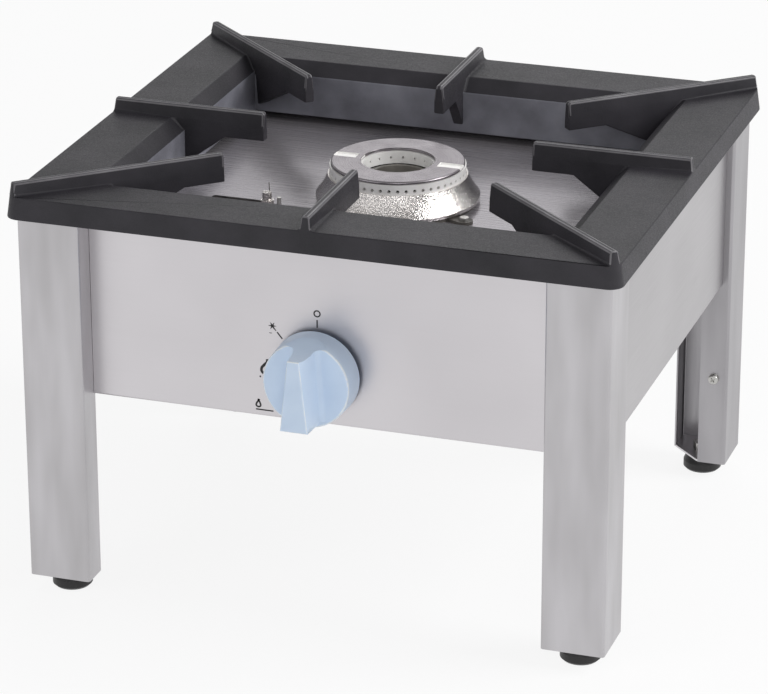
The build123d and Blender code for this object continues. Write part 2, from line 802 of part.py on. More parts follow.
# elbow that holds the jet
holder_front = outlet_y - holder_radius
shoulder_face = bracket_face - bracket_sheet
holder_plane = Plane((0, holder_front, mixer_axis), z_dir=(0, 1, 0))
holder_tip = bracket_face + holder_reach
with BuildPart() as injector_holder:
    with BuildSketch(holder_plane):
        Circle(holder_radius)
    extrude(amount=holder_tip - holder_front)
    with BuildSketch(Plane((0, shoulder_face, mixer_axis), z_dir=(0, -1, 0))):
        RegularPolygon(holder_shoulder, 6, major_radius=False)
    extrude(amount=holder_shoulder_length)
    with BuildSketch(Plane((0, outlet_y, mixer_axis), z_dir=(0, 0, -1))):
        Circle(holder_radius)
    extrude(amount=holder_drop)
    with BuildSketch(Plane((0, outlet_y, mixer_axis - holder_drop), z_dir=(0, 0, 1))):
        Circle(burner_pipe_bore)
    extrude(amount=holder_drop, mode=Mode.SUBTRACT)
    with BuildSketch(Plane((0, outlet_y, mixer_axis), z_dir=(0, 1, 0))):
        Circle(burner_pipe_bore)
    extrude(amount=holder_tip - outlet_y, mode=Mode.SUBTRACT)
save(injector_holder.part, "injector_holder")

# jet with its small bore
with BuildPart() as injector:
    with BuildSketch(Plane((0, holder_tip, mixer_axis), z_dir=(0, 1, 0))):
        RegularPolygon(jet_radius, 6, major_radius=False)
    extrude(amount=jet_length / 2)
    with BuildSketch(Plane((0, holder_tip + jet_length / 2, mixer_axis), z_dir=(0, 1, 0))):
        Circle(jet_nose_radius)
    extrude(amount=jet_length / 2, taper=jet_nose_taper)
    with BuildSketch(Plane((0, holder_tip, mixer_axis), z_dir=(0, 1, 0))):
        Circle(jet_bore)
    extrude(amount=jet_length, mode=Mode.SUBTRACT)
save(injector.part, "injector")

# ================================================================ gas tap
panel_back = front_face + panel_sheet
tap_rear = panel_back + tap_length
inlet_y = front_face + inlet_setback
spindle_inner = panel_back + spindle_embed
thrust_front = spindle_inner
tap_plane = Plane((0, panel_back, knob_axis), z_dir=(0, 1, 0))
with BuildPart() as tap_body:
    with BuildSketch(tap_plane):
        Circle(tap_flange_radius)
    extrude(amount=tap_flange)
    with BuildSketch(tap_plane):
        Circle(tap_radius)
    extrude(amount=tap_length)
    with BuildSketch(tap_plane):
        Circle(tap_neck_radius)
    extrude(amount=-tap_neck_length)
    with BuildSketch(Plane((0, tap_rear, knob_axis), z_dir=(0, 1, 0))):
        RegularPolygon(magnet_radius, 6, major_radius=False)
    extrude(amount=magnet_length / 2)
    with BuildSketch(Plane((0, tap_rear + magnet_length / 2, knob_axis), z_dir=(0, 1, 0))):
        Circle(magnet_tail_radius)
    extrude(amount=magnet_length / 2)
    # outlet upwards, inlet to the right, pilot outlet to the left
    with BuildSketch(Plane((0, outlet_y, knob_axis), z_dir=(0, 0, 1))):
        Circle(outlet_radius)
    extrude(amount=outlet_height)
    with BuildSketch(Plane((0, inlet_y, knob_axis), z_dir=(1, 0, 0))):
        Circle(inlet_boss_radius)
    extrude(amount=inlet_boss_length)
    with BuildSketch(Plane((0, inlet_y, knob_axis), z_dir=(-1, 0, 0))):
        Circle(pilot_outlet_radius)
    extrude(amount=outlet_height)
    # bores for the spindle and the thrust pin behind it
    with BuildSketch(Plane((0, panel_back - tap_neck_length, knob_axis), z_dir=(0, 1, 0))):
        Circle(spindle_radius + running_gap)
    extrude(amount=tap_neck_length + spindle_embed + knob_push + bore_spare, mode=Mode.SUBTRACT)
    with BuildSketch(Plane((0, thrust_front, knob_axis), z_dir=(0, 1, 0))):
        Circle(thrust_radius + running_gap)
    extrude(amount=thrust_length + thrust_room, mode=Mode.SUBTRACT)
save(tap_body.part, "tap_body")

with BuildPart() as tap_thrust_pin:
    with BuildSketch(Plane((0, thrust_front, knob_axis), z_dir=(0, 1, 0))):
        Circle(thrust_radius)
    extrude(amount=thrust_length)
save(tap_thrust_pin.part, "tap_thrust_pin")

with BuildPart() as tap_nut:
    with BuildSketch(Plane((0, front_face, knob_axis), z_dir=(0, -1, 0))):
        RegularPolygon(tap_nut_across / 2, 6, major_radius=False)
        Circle(tap_neck_radius + running_gap, mode=Mode.SUBTRACT)
    extrude(amount=tap_nut_height)
save(tap_nut.part, "tap_nut")

# spindle with a flat along the part that drives the knob
spindle_tip = front_face - spindle_front
flat_start = panel_back - tap_neck_length - knob_push
with BuildPart() as tap_spindle:
    with BuildSketch(Plane((0, spindle_inner, knob_axis), z_dir=(0, -1, 0))):
        Circle(spindle_radius)
    extrude(amount=spindle_inner - spindle_tip)
    with BuildSketch(Plane((0, flat_start, knob_axis), x_dir=(1, 0, 0), z_dir=(0, -1, 0))):
        with Locations((0, spindle_radius)):
            Rectangle(2 * spindle_radius, 2 * spindle_flat)
    extrude(amount=flat_start - spindle_tip, mode=Mode.SUBTRACT)
save(tap_spindle.part, "tap_spindle")

# ================================================================ knob
knob_back = front_face - knob_gap
knob_face = knob_back - knob_disc
grip_face = knob_face - knob_grip
knob_plane = Plane((0, knob_back, knob_axis), x_dir=(1, 0, 0), z_dir=(0, -1, 0))
grip_plane = Plane((0, knob_face, knob_axis), x_dir=(1, 0, 0), z_dir=(0, -1, 0))


def grip_section(plane, top, top_width, bottom_width):
    """A section of the grip: narrow at the pointer end, wide at the tail."""
    with BuildSketch(plane, mode=Mode.PRIVATE) as section:
        with BuildLine():
            Polyline(
                (-top_width / 2, top),
                (top_width / 2, top),
                (bottom_width / 2, -grip_bottom),
                (-bottom_width / 2, -grip_bottom),
                close=True,
            )
        make_face()
    return section.sketch


with BuildPart() as knob:
    with BuildSketch(knob_plane):
        Circle(knob_radius)
    extrude(amount=knob_disc, taper=degrees(atan2(knob_draft, knob_disc)))
    # raised grip, cut by a shallow scoop over the pointer end
    add(grip_section(grip_plane.offset(-2 * knob_edge), grip_top, grip_root_top, grip_root_bottom))
    add(grip_section(grip_plane.offset(knob_grip), grip_top, grip_narrow, grip_wide))
    loft()
    with Locations(Plane((0, knob_back - scoop_front, knob_axis + scoop_height), z_dir=(1, 0, 0))):
        Cylinder(scoop_radius, 2 * knob_radius, mode=Mode.SUBTRACT)
    # rounded where the grip leaves the disc, round the disc's edge and round the grip's front
    on_disc = knob.edges().filter_by_position(Axis.Y, knob_face, knob_face)
    fillet(on_disc.filter_by(GeomType.BSPLINE).sort_by(SortBy.LENGTH)[-2:], grip_foot)
    on_disc = knob.edges().filter_by_position(Axis.Y, knob_face, knob_face)
    fillet(on_disc.filter_by(GeomType.CIRCLE), knob_edge)
    fillet(knob.edges().filter_by_position(Axis.Y, grip_face, grip_face), grip_edge)
    # hollow back with a hub for the spindle
    with BuildSketch(knob_plane):
        Circle(knob_radius - knob_wall)
        Circle(knob_hub, mode=Mode.SUBTRACT)
    extrude(amount=knob_hollow, mode=Mode.SUBTRACT)
    with BuildSketch(knob_plane):
        Circle(knob_radius - knob_wall)
    extrude(amount=knob_hub_back, mode=Mode.SUBTRACT)
    with BuildSketch(knob_plane):
        Circle(spindle_radius + running_gap)
    extrude(amount=knob_back - spindle_tip + bore_spare, mode=Mode.SUBTRACT)
save(knob.part, "knob")

# ================================================================ gas pipes
tap_outlet_top = knob_axis + outlet_height
holder_bottom = mixer_axis - holder_drop
with BuildPart() as burner_pipe:
    with BuildSketch(Plane((0, outlet_y, tap_outlet_top), z_dir=(0, 0, 1))):
        Circle(burner_pipe_radius)
        Circle(burner_pipe_bore, mode=Mode.SUBTRACT)
    extrude(amount=holder_bottom - tap_outlet_top)
save(burner_pipe.part, "burner_pipe")

rear_inside = -front_face - panel_sheet
fitting_front = rear_inside - inlet_hex_length
with BuildPart() as inlet_pipe:
    with BuildLine() as inlet_route:
        FilletPolyline(
            (inlet_boss_length, inlet_y, knob_axis),
            (inlet_x, inlet_y, knob_axis),
            (inlet_x, fitting_front, knob_axis),
            radius=pipe_bend,
        )
    with BuildSketch(Plane((inlet_boss_length, inlet_y, knob_axis), z_dir=(1, 0, 0))):
        Circle(pipe_radius)
        Circle(pipe_bore, mode=Mode.SUBTRACT)
    sweep(path=inlet_route.wire())
save(inlet_pipe.part, "inlet_pipe")

# threaded connection through the rear panel, hexagon inside, nut outside
fitting_plane = Plane((inlet_x, fitting_front, knob_axis), z_dir=(0, 1, 0))
fitting_end = -grip_face  # as far back as the knob stands forward
with BuildPart() as inlet_fitting:
    with BuildSketch(fitting_plane):
        RegularPolygon(inlet_hex / 2, 6, major_radius=False)
    extrude(amount=inlet_hex_length)
    with BuildSketch(Plane((inlet_x, rear_inside, knob_axis), z_dir=(0, 1, 0))):
        Circle(inlet_neck_radius)
    extrude(amount=fitting_end - inlet_thread_length - rear_inside)
    with BuildSketch(Plane((inlet_x, fitting_end - inlet_thread_length, knob_axis), z_dir=(0, 1, 0))):
        Circle(inlet_thread_radius)
    extrude(amount=inlet_thread_length)
    with BuildSketch(fitting_plane):
        Circle(inlet_bore)
    extrude(amount=fitting_end - fitting_front, mode=Mode.SUBTRACT)
save(inlet_fitting.part, "inlet_fitting")

with BuildPart() as inlet_nut:
    with BuildSketch(Plane((inlet_x, -front_face, knob_axis), z_dir=(0, 1, 0))):
        RegularPolygon(inlet_nut_across / 2, 6, major_radius=False)
        Circle(inlet_neck_radius + running_gap, mode=Mode.SUBTRACT)
    extrude(amount=inlet_nut_height)
save(inlet_nut.part, "inlet_nut")

# ================================================================ pilot
pilot_base = well_floor + pilot_bracket_sheet
with BuildPart() as pilot_bracket:
    with BuildSketch(Plane.XY.offset(well_floor)):
        with Locations(((pilot_x + probe_x) / 2, pilot_y)):
            RectangleRounded(pilot_bracket_width, pilot_bracket_depth, pilot_bracket_corner)
        with Locations((probe_x, pilot_y)):
            Circle(probe_radius + running_gap, mode=Mode.SUBTRACT)
    extrude(amount=pilot_bracket_sheet)
save(pilot_bracket.part, "pilot_bracket")

with BuildPart() as pilot_burner:
    with BuildSketch(Plane.XY.offset(pilot_base)):
        with Locations((pilot_x, pilot_y)):
            Circle(pilot_hood)
    extrude(amount=pilot_height / 2)
    with BuildSketch(Plane.XY.offset(pilot_base + pilot_height / 2)):
        with Locations((pilot_x, pilot_y)):
            Circle(pilot_radius)
    extrude(amount=pilot_height / 2)
save(pilot_burner.part, "pilot_burner")

tube_level = well_floor + pilot_tube_rise
pilot_inlet = pilot_x - pilot_hood - weld_gap
with BuildPart() as pilot_tube:
    with BuildLine() as pilot_route:
        FilletPolyline(
            (pilot_tube_entry, pilot_y, well_underside - pilot_tube_drop),
            (pilot_tube_entry, pilot_y, tube_level),
            (pilot_inlet, pilot_y, tube_level),
            radius=2 * pilot_tube_radius,
        )
    with BuildSketch(Plane((pilot_tube_entry, pilot_y, well_underside - pilot_tube_drop), z_dir=(0, 0, 1))):
        Circle(pilot_tube_radius)
    sweep(path=pilot_route.wire())
save(pilot_tube.part, "pilot_tube")

with BuildPart() as thermocouple:
    with BuildSketch(Plane.XY.offset(well_floor)):
        with Locations((probe_x, pilot_y)):
            Circle(probe_radius)
    extrude(amount=probe_height)
    with BuildSketch(Plane.XY.offset(well_floor)):
        with Locations((probe_x, pilot_y)):
            Circle(lead_radius)
    extrude(amount=-lead_drop)
save(thermocouple.part, "thermocouple")

# ================================================================ bonding screw in the rear right leg
with BuildPart() as bonding_screw:
    with BuildSketch(Plane((bonding_x, bonding_y, bonding_z), z_dir=(0, -1, 0))):
        Circle(bonding_head_radius)
    extrude(amount=bonding_head_height)
    chamfer(bonding_screw.faces().sort_by(Axis.Y)[0].edges(), bonding_head_height / 3)
    with BuildSketch(Plane((bonding_x, bonding_y, bonding_z), z_dir=(0, 1, 0))):
        Circle(bonding_screw_radius)
    extrude(amount=bonding_length)
save(bonding_screw.part, "bonding_screw")

with BuildPart() as bonding_nut:
    with BuildSketch(Plane((bonding_x, bonding_y + leg_sheet, bonding_z), z_dir=(0, 1, 0))):
        RegularPolygon(bonding_nut_across / 2, 6, major_radius=False)
        Circle(bonding_screw_radius + running_gap, mode=Mode.SUBTRACT)
    extrude(amount=bonding_nut_height)
save(bonding_nut.part, "bonding_nut")
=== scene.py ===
import logging
import math
from dataclasses import dataclass
from enum import Enum

import bmesh
import bpy
from bmesh.types import BMesh, BMFace, BMVert
from bpy.types import Material, Node, NodeSocket, NodeTree, Object
from mathutils import Matrix, Vector


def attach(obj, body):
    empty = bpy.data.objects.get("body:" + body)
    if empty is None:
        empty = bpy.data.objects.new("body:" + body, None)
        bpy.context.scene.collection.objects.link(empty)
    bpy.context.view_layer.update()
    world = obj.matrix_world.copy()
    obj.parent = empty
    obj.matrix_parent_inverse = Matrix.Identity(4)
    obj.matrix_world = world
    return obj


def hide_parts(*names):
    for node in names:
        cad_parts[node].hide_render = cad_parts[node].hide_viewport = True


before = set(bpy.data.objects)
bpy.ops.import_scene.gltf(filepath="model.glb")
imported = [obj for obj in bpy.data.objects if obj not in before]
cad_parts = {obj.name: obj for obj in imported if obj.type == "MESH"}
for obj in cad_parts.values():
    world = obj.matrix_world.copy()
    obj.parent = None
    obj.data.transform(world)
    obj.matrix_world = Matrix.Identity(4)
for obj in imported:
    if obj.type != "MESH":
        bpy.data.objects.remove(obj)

# Looks of the stock pot range, in metres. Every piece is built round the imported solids,
# which keep their places.

log = logging.getLogger("stock_pot_range")
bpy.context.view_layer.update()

Colour = tuple[float, float, float]
Point = tuple[float, float, float]
Spot = tuple[float, float]
Noise = tuple[float, float]  # Fineness and number of layers.
Bump = tuple[NodeSocket, float, float]  # Height, strength from 0 to 1, and depth in metres.

CORNERS = ("front_left", "front_right", "rear_left", "rear_right")
WELD = 0.000002  # Points nearer than this become one.
NOISE_LOW, NOISE_HIGH = 0.3, 0.7  # Most values of a noise lie between these.


class Grain(Enum):
    """Axis along which a sheet was brushed."""

    ALONG_X = 0
    ALONG_Y = 1
    ALONG_Z = 2


def tone(red: int, green: int, blue: int) -> Colour:
    """Turn a screen colour into the linear colour that shaders take.

    The numbers are those of the standard screen curve.

    Args:
        red: Red from 0 to 255.
        green: Green from 0 to 255.
        blue: Blue from 0 to 255.

    Returns:
        The three linear values from 0 to 1.
    """
    shares = [value / 255 for value in (red, green, blue)]
    linear = [share / 12.92 if share <= 0.04045 else ((share + 0.055) / 1.055) ** 2.4 for share in shares]
    return linear[0], linear[1], linear[2]


# ---------------------------------------------------------------- shader building


def add_node(tree: NodeTree, kind: str, **values: float | Point) -> Node:
    """Add a node and set the inputs that stay the same everywhere.

    Args:
        tree: The node tree to add to.
        kind: The node's type.
        values: Inputs by name, with an underscore for each space.

    Returns:
        The node.
    """
    node = tree.nodes.new(kind)
    for name, value in values.items():
        node.inputs[name.replace("_", " ")].default_value = value
    return node


def larger(tree: NodeTree, first: NodeSocket, second: NodeSocket) -> NodeSocket:
    """Compare two numbers.

    Args:
        tree: The node tree to add to.
        first: One number.
        second: The other number.

    Returns:
        The larger number's socket.
    """
    node = tree.nodes.new("ShaderNodeMath")
    node.operation = "MAXIMUM"
    tree.links.new(first, node.inputs[0])
    tree.links.new(second, node.inputs[1])
    return node.outputs[0]


class Recipe:
    """A material's node tree, with short calls for the nodes that the finishes share."""

    def __init__(self, name: str) -> None:
        """Start an empty surface.

        Args:
            name: Name of the material.
        """
        self.material = bpy.data.materials.new(name)
        self.material.use_nodes = True
        self.tree = self.material.node_tree
        self.surface = self.tree.nodes["Principled BSDF"]

    def base(self, metal: float, roughness: float, shine: float) -> None:
        """Set the surface's constant metal share, roughness and shine.

        Args:
            metal: 1 for bare metal, 0 for plastic or paint.
            roughness: Roughness where no pattern drives it.
            shine: Strength of the surface's reflection where it isn't metal.
        """
        self.surface.inputs["Metallic"].default_value = metal
        self.surface.inputs["Roughness"].default_value = roughness
        self.surface.inputs["Specular IOR Level"].default_value = shine

    def wire(self, source: NodeSocket, target: NodeSocket) -> None:
        """Join two sockets."""
        self.tree.links.new(source, target)

    def place(self, scale: Point = (1.0, 1.0, 1.0)) -> NodeSocket:
        """Give the piece's own coordinates, stretched.

        Args:
            scale: Stretch along each axis.

        Returns:
            The vector socket.
        """
        coordinates = self.tree.nodes.new("ShaderNodeTexCoord")
        mapping = add_node(self.tree, "ShaderNodeMapping", Scale=scale)
        self.wire(coordinates.outputs["Object"], mapping.inputs["Vector"])
        return mapping.outputs["Vector"]

    def noise(self, vector: NodeSocket, fineness: float, layers: float) -> NodeSocket:
        """Add a noise texture.

        Args:
            vector: Where the noise is read.
            fineness: Its lumps to the metre, roughly.
            layers: Its finer and finer layers.

        Returns:
            The grey value socket.
        """
        noise = add_node(self.tree, "ShaderNodeTexNoise", Scale=fineness, Detail=layers)
        self.wire(vector, noise.inputs["Vector"])
        return noise.outputs[0]

    def turned(self, fineness: float, layers: float) -> NodeSocket:
        """Add the fine rings that turning on a lathe leaves round the Z axis.

        Args:
            fineness: Rings to the metre, roughly.
            layers: Finer and finer layers of rings.

        Returns:
            The grey value socket.
        """
        radius = self.tree.nodes.new("ShaderNodeVectorMath")
        radius.operation = "LENGTH"
        self.wire(self.place((1.0, 1.0, 0.0)), radius.inputs[0])
        noise = add_node(self.tree, "ShaderNodeTexNoise", Scale=fineness, Detail=layers)
        noise.noise_dimensions = "1D"
        self.wire(radius.outputs["Value"], noise.inputs["W"])
        return noise.outputs[0]

    def colours(self, value: NodeSocket, dark: Colour, light: Colour) -> None:
        """Drive the base colour between two tones.

        Args:
            value: The noise that drives it.
            dark: Colour at the noise's low end.
            light: Colour at its high end.
        """
        ramp = self.tree.nodes.new("ShaderNodeValToRGB")
        ends = zip(ramp.color_ramp.elements, (NOISE_LOW, NOISE_HIGH), (dark, light))
        for element, position, colour in ends:
            element.position = position
            element.color = (*colour, 1.0)
        self.wire(value, ramp.inputs["Fac"])
        self.wire(ramp.outputs["Color"], self.surface.inputs["Base Color"])

    def roughness(self, value: NodeSocket, low: float, high: float) -> None:
        """Drive the roughness between two values.

        Args:
            value: The noise that drives it.
            low: Roughness at the noise's low end.
            high: Roughness at its high end.
        """
        spread = add_node(
            self.tree, "ShaderNodeMapRange", From_Min=NOISE_LOW, From_Max=NOISE_HIGH, To_Min=low, To_Max=high
        )
        self.wire(value, spread.inputs["Value"])
        self.wire(spread.outputs["Result"], self.surface.inputs["Roughness"])

    def relief(self, *layers: Bump) -> None:
        """Lay bump layers over each other.

        Args:
            layers: The layers, the lowest first.
        """
        target = self.surface.inputs["Normal"]
        for height, strength, depth in reversed(layers):
            bump = add_node(self.tree, "ShaderNodeBump", Strength=strength, Distance=depth)
            self.wire(height, bump.inputs["Height"])
            self.wire(bump.outputs["Normal"], target)
            target = bump.inputs["Normal"]


# ---------------------------------------------------------------- finishes


@dataclass(frozen=True)
class Patterns:
    """Patterns that drive a finish's tones, its gloss and its relief."""

    tones: NodeSocket
    gloss: NodeSocket
    relief: tuple[Bump, ...] = ()


@dataclass(frozen=True)
class Finish:
    """A surface between two tones. Each kind of finish draws its own patterns on it.

    The two strays say how far below and above its middle value the roughness wanders.
    """

    name: str
    light: Colour
    dark: Colour
    roughness: float
    metal: float = 0.0
    shine: float = 0.5
    stray_down: float = 0.05
    stray_up: float = 0.07

    def material(self) -> Material:
        """Build the finish.

        Returns:
            The material.
        """
        recipe = Recipe(self.name)
        recipe.base(self.metal, self.roughness, self.shine)
        patterns = self.patterns(recipe)
        recipe.colours(patterns.tones, self.dark, self.light)
        recipe.roughness(patterns.gloss, self.roughness - self.stray_down, self.roughness + self.stray_up)
        recipe.relief(*patterns.relief)
        return recipe.material

    def patterns(self, recipe: Recipe) -> Patterns:
        """Draw the finish's patterns; each kind has its own."""
        raise NotImplementedError


@dataclass(frozen=True)
class BrushedSteel(Finish):
    """Stainless sheet with fine straight brush marks."""

    roughness: float = 0.34
    metal: float = 1.0
    grain: Grain = Grain.ALONG_X
    fineness: float = 2600.0
    length: float = 18.0
    mark_layers: float = 3.0
    clouds: Noise = (7.0, 2.0)
    bands: float = 1.0
    strength: float = 0.12
    depth: float = 0.00002

    def patterns(self, recipe: Recipe) -> Patterns:
        """Draw brush marks over broad clouds, which bands squeeze into upright streaks.

        Args:
            recipe: The material in the making.

        Returns:
            The patterns.
        """
        stretch = [self.fineness] * 3
        stretch[self.grain.value] = self.length
        marks = recipe.noise(recipe.place(tuple(stretch)), 1.0, self.mark_layers)
        clouds = recipe.noise(recipe.place((self.bands, self.bands, 1.0)), *self.clouds)
        return Patterns(clouds, marks, ((marks, self.strength, self.depth),))


@dataclass(frozen=True)
class CastIron(Finish):
    """Dark enamelled iron with the grain of its sand mould."""

    roughness: float = 0.48
    shine: float = 0.28
    stray_down: float = 0.1
    stray_up: float = 0.14
    patches: Noise = (22.0, 5.0)
    lumps: Noise = (140.0, 3.0)
    sand: Noise = (900.0, 3.0)
    lump_strength: float = 0.35
    lump_depth: float = 0.0006
    sand_strength: float = 0.5
    sand_depth: float = 0.00025

    def patterns(self, recipe: Recipe) -> Patterns:
        """Draw patches of tone and the mould's lumps and sand.

        Args:
            recipe: The material in the making.

        Returns:
            The patterns.
        """
        place = recipe.place()
        patches = recipe.noise(place, *self.patches)
        sand = recipe.noise(place, *self.sand)
        lumps = recipe.noise(place, *self.lumps)
        relief = ((lumps, self.lump_strength, self.lump_depth), (sand, self.sand_strength, self.sand_depth))
        return Patterns(patches, sand, relief)


@dataclass(frozen=True)
class Stained(Finish):
    """Surface with soft stains of tone over fine marks; one of the two drives its gloss."""

    stains: Noise = (90.0, 4.0)
    marks: Noise = (1500.0, 2.0)
    strength: float = 0.2
    depth: float = 0.00005
    gloss_by_marks: bool = False

    def patterns(self, recipe: Recipe) -> Patterns:
        """Draw the stains and the marks.

        Args:
            recipe: The material in the making.

        Returns:
            The patterns.
        """
        place = recipe.place()
        stains = recipe.noise(place, *self.stains)
        marks = recipe.noise(place, *self.marks)
        gloss = marks if self.gloss_by_marks else stains
        return Patterns(stains, gloss, ((marks, self.strength, self.depth),))


@dataclass(frozen=True)
class PolishedCasting(Stained):
    """Bright metal, mirror-like over the small dimples of its casting."""

    metal: float = 1.0
    stray_down: float = 0.04
    stray_up: float = 0.08
    stains: Noise = (40.0, 3.0)
    marks: Noise = (650.0, 2.0)
    strength: float = 0.6
    depth: float = 0.0011


@dataclass(frozen=True)
class PlainMetal(Stained):
    """Small machined or plated metal parts."""

    metal: float = 1.0
    stray_down: float = 0.08
    stray_up: float = 0.1


@dataclass(frozen=True)
class Moulding(Stained):
    """Moulded plastic or rubber with a faint skin."""

    stains: Noise = (30.0, 3.0)
    marks: Noise = (1800.0, 2.0)
    strength: float = 0.15
    depth: float = 0.00004
    gloss_by_marks: bool = True


@dataclass(frozen=True)
class TurnedSteel(Finish):
    """Metal turned on a lathe round the burner's axis."""

    metal: float = 1.0
    stray_down: float = 0.08
    stray_up: float = 0.12
    stains: Noise = (60.0, 4.0)
    rings: Noise = (2600.0, 2.0)
    strength: float = 0.3
    depth: float = 0.00006

    def patterns(self, recipe: Recipe) -> Patterns:
        """Draw stains and the lathe's rings.

        Args:
            recipe: The material in the making.

        Returns:
            The patterns.
        """
        rings = recipe.turned(*self.rings)
        stains = recipe.noise(recipe.place(), *self.stains)
        return Patterns(stains, rings, ((rings, self.strength, self.depth),))


@dataclass(frozen=True)
class Ink(Finish):
    """Screen-printed ink, slightly uneven."""

    stray_down: float = 0.07
    spots: Noise = (1200.0, 3.0)

    def patterns(self, recipe: Recipe) -> Patterns:
        """Draw the ink's spots.

        Args:
            recipe: The material in the making.

        Returns:
            The patterns.
        """
        spots = recipe.noise(recipe.place(), *self.spots)
        return Patterns(spots, spots)


class Finishes:
    """All finishes of the range, each built once."""

    def __init__(self) -> None:
        """Build the materials."""
        self.sheet_x = BrushedSteel(
            "stainless_brushed_x", tone(210, 207, 210), tone(203, 200, 203)
        ).material()
        self.sheet_y = BrushedSteel(
            "stainless_brushed_y", tone(186, 184, 186), tone(176, 174, 176), grain=Grain.ALONG_Y
        ).material()
        # Darker copy of the leg finish for one leg: painted shade.
        self.painted_shade_leg = BrushedSteel(
            "stainless_brushed_leg_painted_shade", tone(172, 170, 173), tone(156, 154, 157),
            grain=Grain.ALONG_Z, bands=5.0,
        ).material()
        self.leg = BrushedSteel(
            "stainless_brushed_leg", tone(196, 194, 197), tone(178, 176, 178),
            grain=Grain.ALONG_Z, bands=5.0,
        ).material()
        self.plate = BrushedSteel(
            "stainless_pressed", tone(172, 168, 173), tone(158, 154, 159), 0.26, metal=0.5, depth=0.000005
        ).material()
        self.iron = CastIron("grate_iron", tone(56, 54, 59), tone(42, 41, 45)).material()
        # Lighter, glossier iron for the rounded crests: partly wear, partly painted highlight.
        self.worn_and_highlight_iron = CastIron(
            "grate_iron_edge_wear_and_painted_highlight", tone(120, 118, 122), tone(82, 80, 84), 0.36, shine=0.5
        ).material()
        # Lighter, bluish iron for the skirt's inner faces in the well: painted light.
        self.painted_light_skirt_iron = CastIron(
            "grate_iron_skirt_painted_light", tone(138, 139, 148), tone(100, 100, 108), 0.5, shine=0.5
        ).material()
        self.burner_iron = CastIron(
            "burner_iron", tone(122, 118, 112), tone(66, 63, 60), 0.5, shine=0.5
        ).material()
        self.flare = PolishedCasting(
            "burner_polished", tone(236, 232, 230), tone(214, 209, 206), 0.1
        ).material()
        # Near-white, barely metallic finish for the port rings and the cap's notches: bright metal, whitened
        # further as painted light against the cap's shadow.
        self.ring = PolishedCasting(
            "port_ring_painted_reflection", tone(255, 254, 252), tone(246, 244, 242), 0.35,
            metal=0.25, marks=(300.0, 2.0), depth=0.00008,
        ).material()
        self.cap = TurnedSteel("burner_cap_turned", tone(158, 153, 157), tone(138, 133, 137), 0.3).material()
        self.brass = PlainMetal("brass", tone(206, 176, 104), tone(170, 140, 78), 0.28).material()
        self.zinc = PlainMetal("zinc_plate", tone(214, 213, 210), tone(172, 171, 168), 0.3).material()
        self.pipe = PlainMetal("pipe_steel", tone(188, 188, 190), tone(150, 149, 152), 0.36).material()
        self.tube = PlainMetal("dark_tube", tone(88, 84, 84), tone(54, 52, 53), 0.4).material()
        self.knob = Moulding("knob_blue", tone(216, 234, 255), tone(208, 227, 250), 0.34).material()
        # Lighter, glossier blue for the knob's rounded edges: painted highlight.
        self.knob_painted_highlight = Moulding(
            "knob_blue_painted_highlight", tone(244, 250, 255), tone(232, 241, 250), 0.22
        ).material()
        self.foot = Moulding("foot_black", tone(32, 31, 32), tone(20, 19, 20), 0.45).material()
        self.ink = Ink("dial_ink", tone(26, 25, 28), tone(16, 15, 17), 0.55).material()


# ---------------------------------------------------------------- mesh building


def dress(node: str, material: Material) -> None:
    """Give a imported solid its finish.

    Args:
        node: Name of the solid.
        material: Its finish.
    """
    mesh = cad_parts[node].data
    mesh.materials.clear()
    mesh.materials.append(material)
    log.info("dressed %s", node)


def make_piece(
    mesh_edit: BMesh,
    name: str,
    body: str,
    slot: str,
    *materials: Material,
    smooth: float = 40.0,
    turn_outward: bool = True,
) -> Object:
    """Turn an edited mesh into a finished piece that moves with a body.

    Args:
        mesh_edit: The mesh; it is freed here.
        name: Name of the piece.
        body: Body that the piece rides on.
        slot: The record's material slot; not used.
        materials: Material slots in order.
        smooth: Edges sharper than this angle in degrees stay sharp.
        turn_outward: Whether the faces still have to be turned outwards.

    Returns:
        The piece.
    """
    if turn_outward:
        bmesh.ops.recalc_face_normals(mesh_edit, faces=mesh_edit.faces)
    mesh = bpy.data.meshes.new(name)
    mesh_edit.to_mesh(mesh)
    mesh_edit.free()
    mesh.shade_smooth()
    mesh.set_sharp_from_angle(angle=math.radians(smooth))
    for material in materials:
        mesh.materials.append(material)
    piece = bpy.data.objects.new(name, mesh)
    bpy.context.collection.objects.link(piece)
    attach(piece, body)
    log.info("built %s with %d faces", name, len(mesh.polygons))
    return piece


def even_shading(piece: Object) -> None:
    """Keep large flat faces flat beside small rounded edges."""
    weighted = piece.modifiers.new("even_shading", "WEIGHTED_NORMAL")
    weighted.keep_sharp = True


def new_verts(result: dict[str, list]) -> list[BMVert]:
    """Pick the points out of what an operator has made."""
    return [item for item in result["geom"] if isinstance(item, BMVert)]


def merged_copy(node: str, flat: float = 0.5) -> BMesh:
    """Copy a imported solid's loose triangles into one closed mesh with whole flat faces.

    Args:
        node: Name of the solid.
        flat: Neighbours that differ less than this angle in degrees become one face.

    Returns:
        The merged mesh.
    """
    merged = bmesh.new()
    merged.from_mesh(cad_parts[node].data)
    bmesh.ops.remove_doubles(merged, verts=merged.verts, dist=WELD)
    bmesh.ops.dissolve_limit(merged, angle_limit=math.radians(flat), verts=merged.verts, edges=merged.edges)
    return merged


